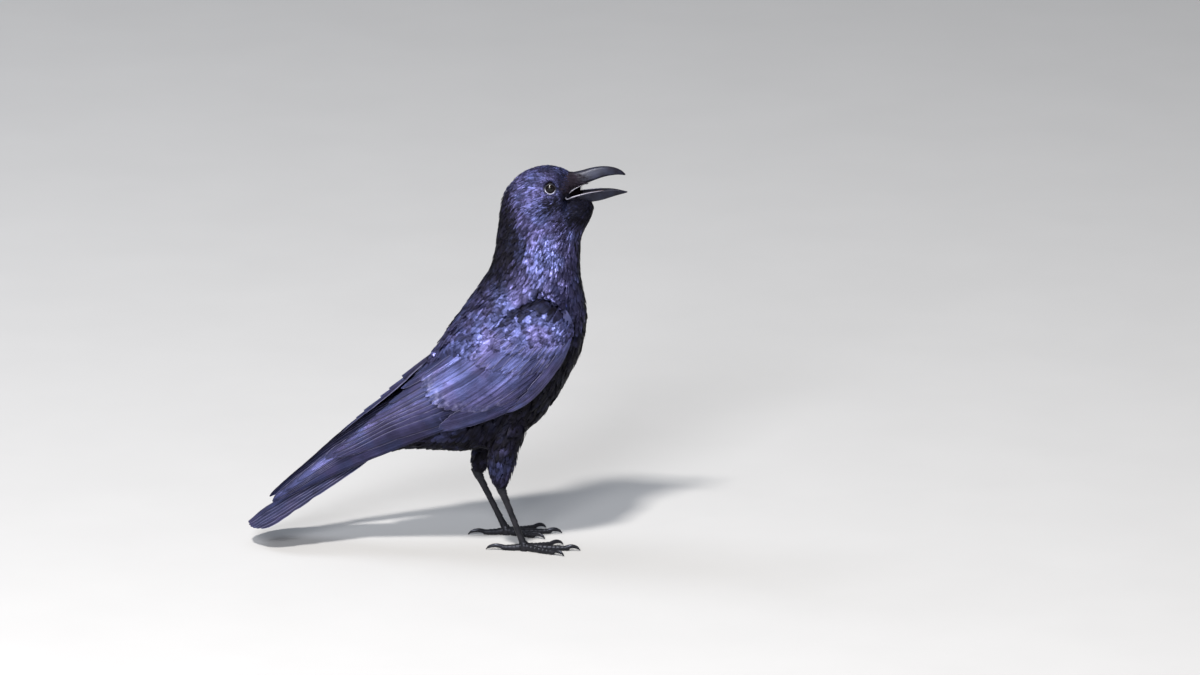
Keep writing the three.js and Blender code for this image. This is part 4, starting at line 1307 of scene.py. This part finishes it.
# Each tier, from the innermost or uppermost feather to the last: where its roots and tips run as
# (along, down), where the tip's rounding starts, how far the outer vane reaches, how much deeper each
# next feather lies, half width at the first and the last, and height over the surface at root and tip
wingTiers = dict(
    primaries=dict(
        count=10, roots=[(0.32, 0.76), (0.26, 0.97)],
        bow=0.02, roundness=0.86, outer=0.45, step=-0.2,
        tips=[(0.79, 0.5), (0.88, 0.55), (0.955, 0.62), (0.985, 0.78), (0.95, 0.93), (0.87, 0.99)],
        halfWidths=(8.0, 4.6), heights=(-4.6, -2.0), cup=0.3,
    ),
    secondaries=dict(
        count=11, roots=[(0.13, 0.05), (0.2, 0.38), (0.27, 0.85)],
        bow=0.03, roundness=0.84, outer=0.62, step=-0.2,
        tips=[(0.55, 0.08), (0.61, 0.19), (0.66, 0.28), (0.71, 0.37), (0.755, 0.47), (0.765, 0.6)]
        + [(0.74, 0.7), (0.7, 0.78)],
        halfWidths=(11.5, 6.5), heights=(-4.6, 0.7), cup=0.2, roof=6.5,
    ),
    primary_coverts=dict(
        count=7, roots=[(0.17, 0.82), (0.13, 0.97)],
        bow=0.0, roundness=0.82, outer=0.6, step=-0.15,
        tips=[(0.47, 0.8), (0.505, 0.9), (0.49, 0.985)],
        halfWidths=(5.8, 4.0), heights=(-2.0, 0.0), cup=0.3,
    ),
    greater_coverts=dict(
        count=14, roots=[(0.17, 0.12), (0.18, 0.5), (0.08, 0.84)],
        bow=0.0, roundness=0.7, outer=0.8, step=-0.05,
        tips=[(0.5, 0.16), (0.505, 0.4), (0.485, 0.62), (0.43, 0.79), (0.36, 0.87)],
        halfWidths=(7.0, 4.6), heights=(-2.6, 0.4), cup=0.14,
    ),
    alula=dict(
        count=3, roots=[(0.05, 0.87), (0.05, 0.96)],
        bow=0.01, roundness=0.78, outer=0.6, step=-0.2,
        tips=[(0.25, 0.9), (0.315, 0.975)],
        halfWidths=(5.0, 4.4), heights=(-0.8, 1.0), cup=0.4,
    ),
    median_coverts=dict(
        count=16, roots=[(0.14, 0.1), (0.12, 0.5), (0.04, 0.84)],
        bow=0.0, roundness=0.55, outer=0.95, step=-0.04,
        tips=[(0.38, 0.12), (0.35, 0.4), (0.28, 0.66), (0.19, 0.86)],
        halfWidths=(5.6, 3.8), heights=(-4.6, 1.1), cup=0.22,
    ),
    lesser_coverts=dict(
        count=15, roots=[(0.12, 0.22), (0.08, 0.5), (0.02, 0.82)],
        bow=0.0, roundness=0.5, outer=0.95, step=-0.03,
        tips=[(0.31, 0.16), (0.28, 0.42), (0.215, 0.66), (0.13, 0.85)],
        halfWidths=(5.0, 3.4), heights=(-4.8, 1.5), cup=0.3,
    ),
)
tail = dict(
    count=12, tip=(-169.7, 19.4), slope=33, length=146, halfRoot=18, halfTip=28.5, droop=9.5,
    rounding=17, halfWidth=9.5, step=0.42, bend=3.6,
)


def makeTier(name, tier, side, finish):
    feathers = []
    for k in range(tier["count"]):
        share = k / (tier["count"] - 1)
        root, tip = curveAt(tier["roots"], share)[0], curveAt(tier["tips"], share)[0]
        tip = tip + rng.normal(0, 0.004, 2)
        halfWidth = mix(*tier["halfWidths"], share)
        heights = [height + tier["step"] * k for height in tier["heights"]]
        roof = tier.get("roof", 0) * (1 - k / tier["count"])
        given = (halfWidth, tier["outer"], heights, tier["bow"], tier["roundness"], tier["cup"], roof)
        feathers.append(spreadFeather(wingSurface, -1, root, tip, *given))
    return joinFeathers(name, feathers, finish, side)


def makeTail(finish):
    feathers = []
    pairs = tail["count"] // 2
    for k in range(tail["count"]):
        pair = k // 2
        side = 1 if k % 2 else -1
        across = (pair + 0.25) / pairs
        length = 1 - tail["rounding"] / tail["length"] * (pair / pairs) ** 2
        heights = (-tail["step"] * pair + 1.6, -tail["step"] * pair + 4.6 + 0.1 * side)
        root, tip = (0.55 * across * side, -0.05), (0.94 * across * side, length)
        given = (tail["halfWidth"], 1, heights, 0, 0.86, 0.4)
        feathers.append(spreadFeather(tailSurface, 1, root, tip, *given))
    return joinFeathers("tail_feathers", feathers, finish, 1)


longFinishes = {name: plumageMaterial(name, **plumageFinishes[name]) for name in list(plumageFinishes)[1:]}
tierFinishes = dict.fromkeys(("primaries", "secondaries"), "flightFeathers")
tierFinishes["greater_coverts"] = "litCoverts"
wingPieces = {}
for sideName, side in sides.items():
    for tierName, tier in wingTiers.items():
        finish = longFinishes[tierFinishes.get(tierName, "largeCoverts")]
        wingPieces[f"{tierName}_{sideName}"] = makeTier(f"{tierName}_{sideName}", tier, side, finish)
tailPiece = makeTail(longFinishes["flightFeathers"])
print("wings and tail made")

mouth = dict(
    tongue=[(118, 0, 320.6), (128, 0, 323.8), (138, 0, 326.2), (148.5, 0, 328.4)],
    tongueRadii=[(1.6, 4.6), (1.5, 3.8), (1.2, 2.7), (0.4, 0.5)],
    corner=[(129, 7.3, 335.2), (121, 8.8, 331.1), (116.4, 9.9, 327.4), (114.2, 10.5, 324.6)]
    + [(115.6, 10.1, 322.7), (121, 8.5, 324.4), (133, 6.9, 327.3), (147, 5.0, 329.2)],
    cornerRadii=[(0.15, 0.15), (0.4, 0.4), (0.55, 0.6), (0.7, 0.8)]
    + [(0.65, 0.8), (0.6, 0.7), (0.45, 0.5), (0.15, 0.15)],
    # inside: at each x, the lower and upper edge of the dark lining, painted shade over dark flesh, and half
    # its width
    lining=[(107, 321.5, 329.0, 8.0), (113, 322.2, 327.4, 9.6), (117, 322.6, 329.6, 8.9)]
    + [(121, 323.6, 331.8, 8.0), (127.5, 324.6, 335.4, 6.8)],
    hollowFront=6.0,
)


def mouthLiningAndShade(finish):
    # a dark wall between the two halves of the bill, hollowed towards the throat, painted black as the
    # mouth's shade
    x, low, high, half = curveAt(mouth["lining"], np.linspace(0, 1, 24)).T
    around = 24
    angle = np.linspace(0, 2 * math.pi, around, endpoint=False)
    wide = np.sign(np.cos(angle)) * np.abs(np.cos(angle)) ** 0.5
    tall = np.sign(np.sin(angle)) * np.abs(np.sin(angle)) ** 0.7
    rings = []
    for row in range(len(x)):
        middle, reach = (low[row] + high[row]) / 2, (high[row] - low[row]) / 2
        rings.append(np.stack([np.full(around, x[row]), half[row] * wide, middle + reach * tall], 1))
    for share in (0.85, 0.6, 0.3):
        ring = rings[23].copy()
        ring[:, 0] -= mouth["hollowFront"] * (1 - share**2)
        ring[:, 1:] = mix(np.array([0, (low[-1] + high[-1]) / 2]), ring[:, 1:], share)
        rings.append(ring)
    faces = ringFaces(len(rings), around)
    return turnOutwards(meshObject("mouth_lining", np.concatenate(rings) * mm, faces, finish))


def tongueRelief(share, angle):
    groove = 1 - sum(0.3 * np.exp(-(((angle - turn) / 0.35) ** 2)) for turn in (0, 2 * math.pi))
    return groove * (1 + 0.02 * np.sin(share * 90))


tongueFinish = fleshMaterial("tongueFlesh", (0.045, 0.024, 0.028), 0.45)
# pale flesh at the corners of the mouth, made brighter still as a painted highlight along the cutting edges
gapeFleshAndGlintFinish = fleshMaterial("gapeFleshAndGlint", (0.3, 0.29, 0.36), 0.34)
# painted shade: the lining is black and reflects nothing, standing for the shaded inside of the mouth over
# its dark flesh
liningAndShadeFinish, liningTree, liningShader = startMaterial("mouthLiningAndShade", (0.0012, 0.0008, 0.001), 0.9, 0.0)
addBump(liningTree, liningShader, objectNoise(liningTree, 2.0), 0.5, 0.3)
liningPiece = mouthLiningAndShade(liningAndShadeFinish)
tongueTube = tubeAlong(mouth["tongue"], mouth["tongueRadii"], 40, 20, 0, tongueRelief)
tonguePiece = joinTubes("tongue_piece", [tongueTube], tongueFinish)
corners = [[(x, y * side, z) for x, y, z in mouth["corner"]] for side in sides.values()]
cornerTubes = [tubeAlong(points, mouth["cornerRadii"], 40, 12) for points in corners]
gapePiece = joinTubes("gape_corners", cornerTubes, gapeFleshAndGlintFinish)

# Eyes and lids

eyeFinish = eyeMaterial()
lid = dict(across=4.3, down=4.05, bead=0.55, outer=6.0, rows=56)


def eyeBall(name, side):
    centre = np.array(eye["place"]) * (1, side, 1)
    shape = bmesh.new()
    bmesh.ops.create_uvsphere(shape, u_segments=56, v_segments=36, radius=1)
    mesh = bpy.data.meshes.new(name)
    shape.to_mesh(mesh)
    shape.free()
    ball = vertexPlaces(mesh)
    # the pole turns outwards, and the cornea stands a little proud round it
    ball = np.stack([ball[:, 0], ball[:, 2] * side, -ball[:, 1] * side], 1)
    radial = np.hypot(ball[:, 0], ball[:, 2]) * eye["radius"]
    front = ball[:, 1] * side > 0
    bulge = eye["corneaHeight"] * np.exp(-((radial / eye["corneaRadius"]) ** 4)) * front
    places = centre + ball * (eye["radius"] + bulge)[:, None]
    moveVertices(mesh, places * mm)
    mesh.shade_smooth()
    storeAttribute(mesh, "ring", np.where(front, radial, eye["radius"]))
    mesh.materials.append(eyeFinish)
    return turnOutwards(linkObject(bpy.data.objects.new(name, mesh)))


def eyeLids(name, side, finish):
    centre = np.array(eye["place"]) * (1, side, 1)
    angles = np.linspace(0, 2 * math.pi, lid["rows"], endpoint=False)
    tree = surfaceTree(skinPiece)
    rings = []
    for angle in angles:
        way = np.array([math.cos(angle), 0, math.sin(angle)])
        opening = 1 / math.hypot(math.cos(angle) / lid["across"], math.sin(angle) / lid["down"])
        far = (centre + way * lid["outer"]) * mm
        hit = tree.ray_cast(Vector((far[0], side * 0.05, far[2])), Vector((0, -side, 0)), 0.05)
        skinHeight = abs(hit[0].y) / mm - eye["place"][1] if hit[0] else 3.0
        ballHeight = math.sqrt(eye["radius"] ** 2 - opening**2)
        bead = lid["bead"]
        profile = [
            (opening, ballHeight - 0.5),
            (opening - 0.05, ballHeight + 0.15),
            (opening + 0.2, ballHeight + bead + 0.1),
            (opening + 0.55, ballHeight + bead),
            (opening + 0.8, ballHeight + 0.1),
            (opening + 1.0, mix(ballHeight, skinHeight, 0.5) + 0.1),
            (lid["outer"] - 0.3, skinHeight + 0.3),
            (lid["outer"] + 0.2, skinHeight - 0.4),
            (lid["outer"] - 0.6, skinHeight - 1.4),
            (opening + 0.6, ballHeight - 1.2),
        ]
        rings.append([centre + way * reach + np.array([0, side * height, 0]) for reach, height in profile])
    count = len(rings[0])
    points = np.array(rings).reshape(-1, 3) * mm
    faces = []
    for ring in range(lid["rows"]):
        after = (ring + 1) % lid["rows"]
        for k in range(count):
            low, high = ring * count, after * count
            nextK = (k + 1) % count
            faces.append((low + k, low + nextK, high + nextK, high + k))
    lids = turnOutwards(meshObject(name, points, faces, finish))
    # painted highlight: the lower lid's edge is painted pale, a glint on its wet rim over slightly paler skin
    onEdge = np.array([0, 0.6, 1, 1, 0.4, 0, 0, 0, 0, 0])
    lower = smoothStep(-0.1, 0.5, -np.sin(angles + 0.15))
    storeAttribute(lids.data, "paleGlint", (lower[:, None] * onEdge).ravel())
    return lids


def lidMaterial():
    # the pale colour on the lower lid paints the glint on its wet edge
    colour = dict(dark=(0.008, 0.008, 0.012), paleGlint=(0.55, 0.55, 0.66))
    material, tree, shader = startMaterial("lidSkin", colour["dark"], 0.42, 0.5)
    worn = plus(tree, 0.35, objectNoise(tree, 1.5))
    share = mathNode(tree, "MULTIPLY", attributeNode(tree, "paleGlint"), worn, True)
    feed(shader, BaseColor=colourMix(tree, share, colour["dark"], colour["paleGlint"]))
    addBump(tree, shader, objectNoise(tree, 0.5), 0.5, 0.1)
    return material


lidFinish = lidMaterial()
eyePieces, lidPieces = {}, {}
for sideName, side in sides.items():
    eyePieces[sideName] = eyeBall(f"eyeball_{sideName}", side)
    lidPieces[sideName] = eyeLids(f"eyelids_{sideName}", side, lidFinish)
print("bill, mouth and eyes made")

# Bristles over the root of the bill

bristles = dict(
    count=1700, roots=(105.5, 120.5), reach=(119, 140), halfWidth=0.3, lift=0.9,
    spread=1.9,  # how far down either side from the ridge, in radians
    level=336.0,  # of the line they stand round
    longest=(0.85, 0.5),  # the turn at which they are longest, and how wide that band is
    # between these x none grow nearer the ridge than this turn
    bareRidge=[((0, 110), 0.5), ((117, 200), 0.4)],
)


def skinSpots(places):
    # where on the skin's unwrap each place lies
    mesh = skinPiece.data
    uv = readValues(mesh.uv_layers["OFBake"].data, "uv", 2)
    tree = surfaceTree(skinPiece)
    faces = [tree.find_nearest(Vector(place))[2] for place in places]
    return np.array([uv[list(mesh.polygons[face].loop_indices)].mean(0) for face in faces])


def makeBristles():
    form = joinedMeshes([skinPiece.data, upperBill.data])
    tree = surfaceTree(form)
    places, out, lie, sizes = [], [], [], []
    for _ in range(bristles["count"]):
        x = rng.uniform(*bristles["roots"])
        turn = rng.uniform(-bristles["spread"], bristles["spread"])
        middle = np.array([x, 0, bristles["level"]]) * mm
        way = np.array([0, math.sin(turn), math.cos(turn)])
        hit = tree.ray_cast(Vector(middle + way * 30 * mm), Vector(-way), 0.05)
        onRidge = any(low < x < high and abs(turn) < least for (low, high), least in bristles["bareRidge"])
        if hit[0] is None or onRidge:
            continue
        places.append(hit[0])
        out.append(hit[1])
        best, band = bristles["longest"]
        sideways = math.exp(-(((abs(turn) - best) / band) ** 2))
        end = mix(*bristles["reach"], sideways) - 3 * rng.random()
        lie.append((1, 0.05 * math.sin(turn), 0.22 - 0.3 * abs(turn) + rng.normal(0, 0.07)))
        sizes.append((max(end - x, 3) * rng.uniform(0.6, 1) * mm, bristles["halfWidth"] * mm, 1))
    places, out, lie = np.array(places), unit(np.array(out)), np.array(lie)
    lie = unit(lie - out * (lie * out).sum(1, keepdims=True))
    count = len(places)
    offRidge = mix(0.1, 1, smoothStep(0.25, 0.75, np.abs(out[:, 1])))  # along the ridge they lie flat
    lift = bristles["lift"] * mm * rng.uniform(0.4, 1.3, count) * offRidge
    roots = rootsObject("bill_bristles", places, out, lie, np.array(sizes), lift, skinSpots(places))
    finish = hornMaterial("bristleHair", (0.012, 0.008, 0.012), (0.030, 0.020, 0.032), 0.5, (1, 1, 1))
    piece = layCoat("bill_bristles", roots, bristleVane, form, finish, clearance=0.2)
    bpy.data.objects.remove(form)
    return piece


bristleVane = smallVane("bristleVane", (0, 0.35, 0.75, 1), (0.9, 0.8, 0.5, 0.08), 0.3)
bristlePiece = makeBristles()
print("bristles laid")

# Legs: the shanks run from heel to sole, and each toe has its heading, its reach to the claw and its scutes

legs = dict(
    stance=27, heelLevel=57.5, footLevel=4.6,
    left=dict(heel=34.5, foot=60), right=dict(heel=56, foot=76.5),
    shankShares=(-0.1, 0.03, 0.14, 0.5, 0.88, 1),
    shankRadii=[(4.2, 3.5), (4.2, 3.6), (3.3, 2.8), (2.7, 2.1), (3.1, 2.7), (4.2, 4.2), (3.9, 3.9)],
    shankScutes=13,
    toeRadii=[(3.2, 3.0), (2.9, 2.7), (2.6, 2.4), (2.1, 1.9), (1.7, 1.5)],
    clawRadii=[(2.1, 1.5), (1.9, 1.4), (1.3, 0.95), (0.3, 0.28)],
)
toes = dict(
    inner=dict(heading=-27, reach=27, knuckles=2, scutes=9, claw=12.5),
    middle=dict(heading=2, reach=38, knuckles=3, scutes=13, claw=12.5),
    outer=dict(heading=30, reach=29, knuckles=3, scutes=10, claw=12.5),
    hind=dict(heading=184, reach=19, knuckles=1, scutes=7, claw=15.6),
)


def scuteRelief(count, knuckles, depth, pads):
    # overlapping plates on the upper or front side, and pads below
    def relief(share, angle):
        front = np.clip(np.cos(angle) * 1.6 + 0.2, 0, 1)
        plate = (share * count) % 1
        step = depth * (plate**1.6 - 0.4) * front
        pad = pads * np.abs(np.sin(share * math.pi * knuckles)) * np.clip(-np.cos(angle), 0, 1)
        return 1 + step + pad

    return relief


def onShank(sideName, share):
    leg = legs[sideName]
    x = mix(leg["heel"], leg["foot"], share)
    return (x, sides[sideName] * legs["stance"], mix(legs["heelLevel"], legs["footLevel"], share))


def onToe(sideName, toe, distance, height):
    heading = math.radians(toe["heading"]) * sides[sideName]
    x = legs[sideName]["foot"] + distance * math.cos(heading)
    return (x, sides[sideName] * legs["stance"] + distance * math.sin(heading), height)


def makeShank(sideName, finish):
    points = [onShank(sideName, share) for share in legs["shankShares"]]
    points.append((legs[sideName]["foot"], sides[sideName] * legs["stance"], -0.6))
    relief = scuteRelief(legs["shankScutes"], 1, 0.17, 0.0)
    tube = tubeAlong(points, legs["shankRadii"], 150, 24, 0, relief, 0)
    return joinTubes(f"shank_scutes_{sideName}", [tube], finish)


def makeFoot(sideName, toeFinish, clawFinish):
    # the line of each toe and of each claw is given by distances from the foot and heights
    toeTubes, clawTubes = [], []
    for toe in toes.values():
        reach, length = toe["reach"], toe["claw"]
        toeLine = [(0, 4.4), (reach * 0.35, 3.0), (reach * 0.7, 2.6), (reach, 2.7), (reach + 1.6, 2.9)]
        clawLine = [(-0.5, 3.0), (length * 0.4, 4.3), (length * 0.78, 3.2), (length, 0.7)]
        toePoints = [onToe(sideName, toe, *at) for at in toeLine]
        clawPoints = [onToe(sideName, toe, reach + past, height) for past, height in clawLine]
        heading = math.radians(toe["heading"]) * sides[sideName]
        relief = scuteRelief(toe["scutes"], toe["knuckles"], 0.16, 0.22)
        toeTubes.append(tubeAlong(toePoints, legs["toeRadii"], 90, 20, heading, relief, 0.05))
        clawTubes.append(tubeAlong(clawPoints, legs["clawRadii"], 30, 16, heading, None, 0.2))
    toePiece = joinTubes(f"toes_{sideName}", toeTubes, toeFinish)
    return [toePiece, joinTubes(f"claws_{sideName}", clawTubes, clawFinish)]


scaleFinish = hornMaterial("legScales", (0.008, 0.008, 0.009), (0.016, 0.015, 0.017), 0.42, (1, 1, 1), 0.7)
clawFinish = hornMaterial("clawHorn", (0.010, 0.010, 0.012), (0.020, 0.020, 0.024), 0.28, (0.4, 1, 1), 0.9)
legPieces = {}
for sideName in sides:
    shank = makeShank(sideName, scaleFinish)
    legPieces[sideName] = [shank, *makeFoot(sideName, scaleFinish, clawFinish)]
print("legs made")

# What each piece rides on, what it stands for and where its finish comes from

standsFor = [(skinPiece, "plumage", fleshNodes)]
standsFor += [(piece, "plumage", []) for piece in (*coatPieces, bristlePiece)]
standsFor += [(tailPiece, "flight_feathers", ["tail"])]
for name, piece in wingPieces.items():
    tierName, sideName = name.rsplit("_", 1)
    nodes = [f"wing_{sideName}_{tierName}"] if tierName in ("primaries", "secondaries") else []
    standsFor.append((piece, "flight_feathers", nodes))
standsFor += [(upperBill, "bill", ["bill_upper"]), (lowerBill, "bill", ["bill_lower"])]
standsFor += [(tonguePiece, "tongue", ["tongue"]), (gapePiece, "tongue", []), (liningPiece, "tongue", [])]
for sideName in sides:
    standsFor += [(eyePieces[sideName], "eye", [f"eye_{sideName}"]), (lidPieces[sideName], "leg_scales", [])]
    shank, toePiece, clawPiece = legPieces[sideName]
    standsFor.append((shank, "leg_scales", [f"shank_{sideName}"]))
    standsFor.append((toePiece, "leg_scales", [f"toe_{sideName}_{name}" for name in toes]))
    standsFor.append((clawPiece, "claw", [f"claw_{sideName}_{name}" for name in toes]))
for piece, slot, nodes in standsFor:
    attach(piece, "root")
    if nodes:
        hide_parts(*nodes)
for vane in (pointedVane, roundVane, bristleVane):
    bpy.data.objects.remove(vane)
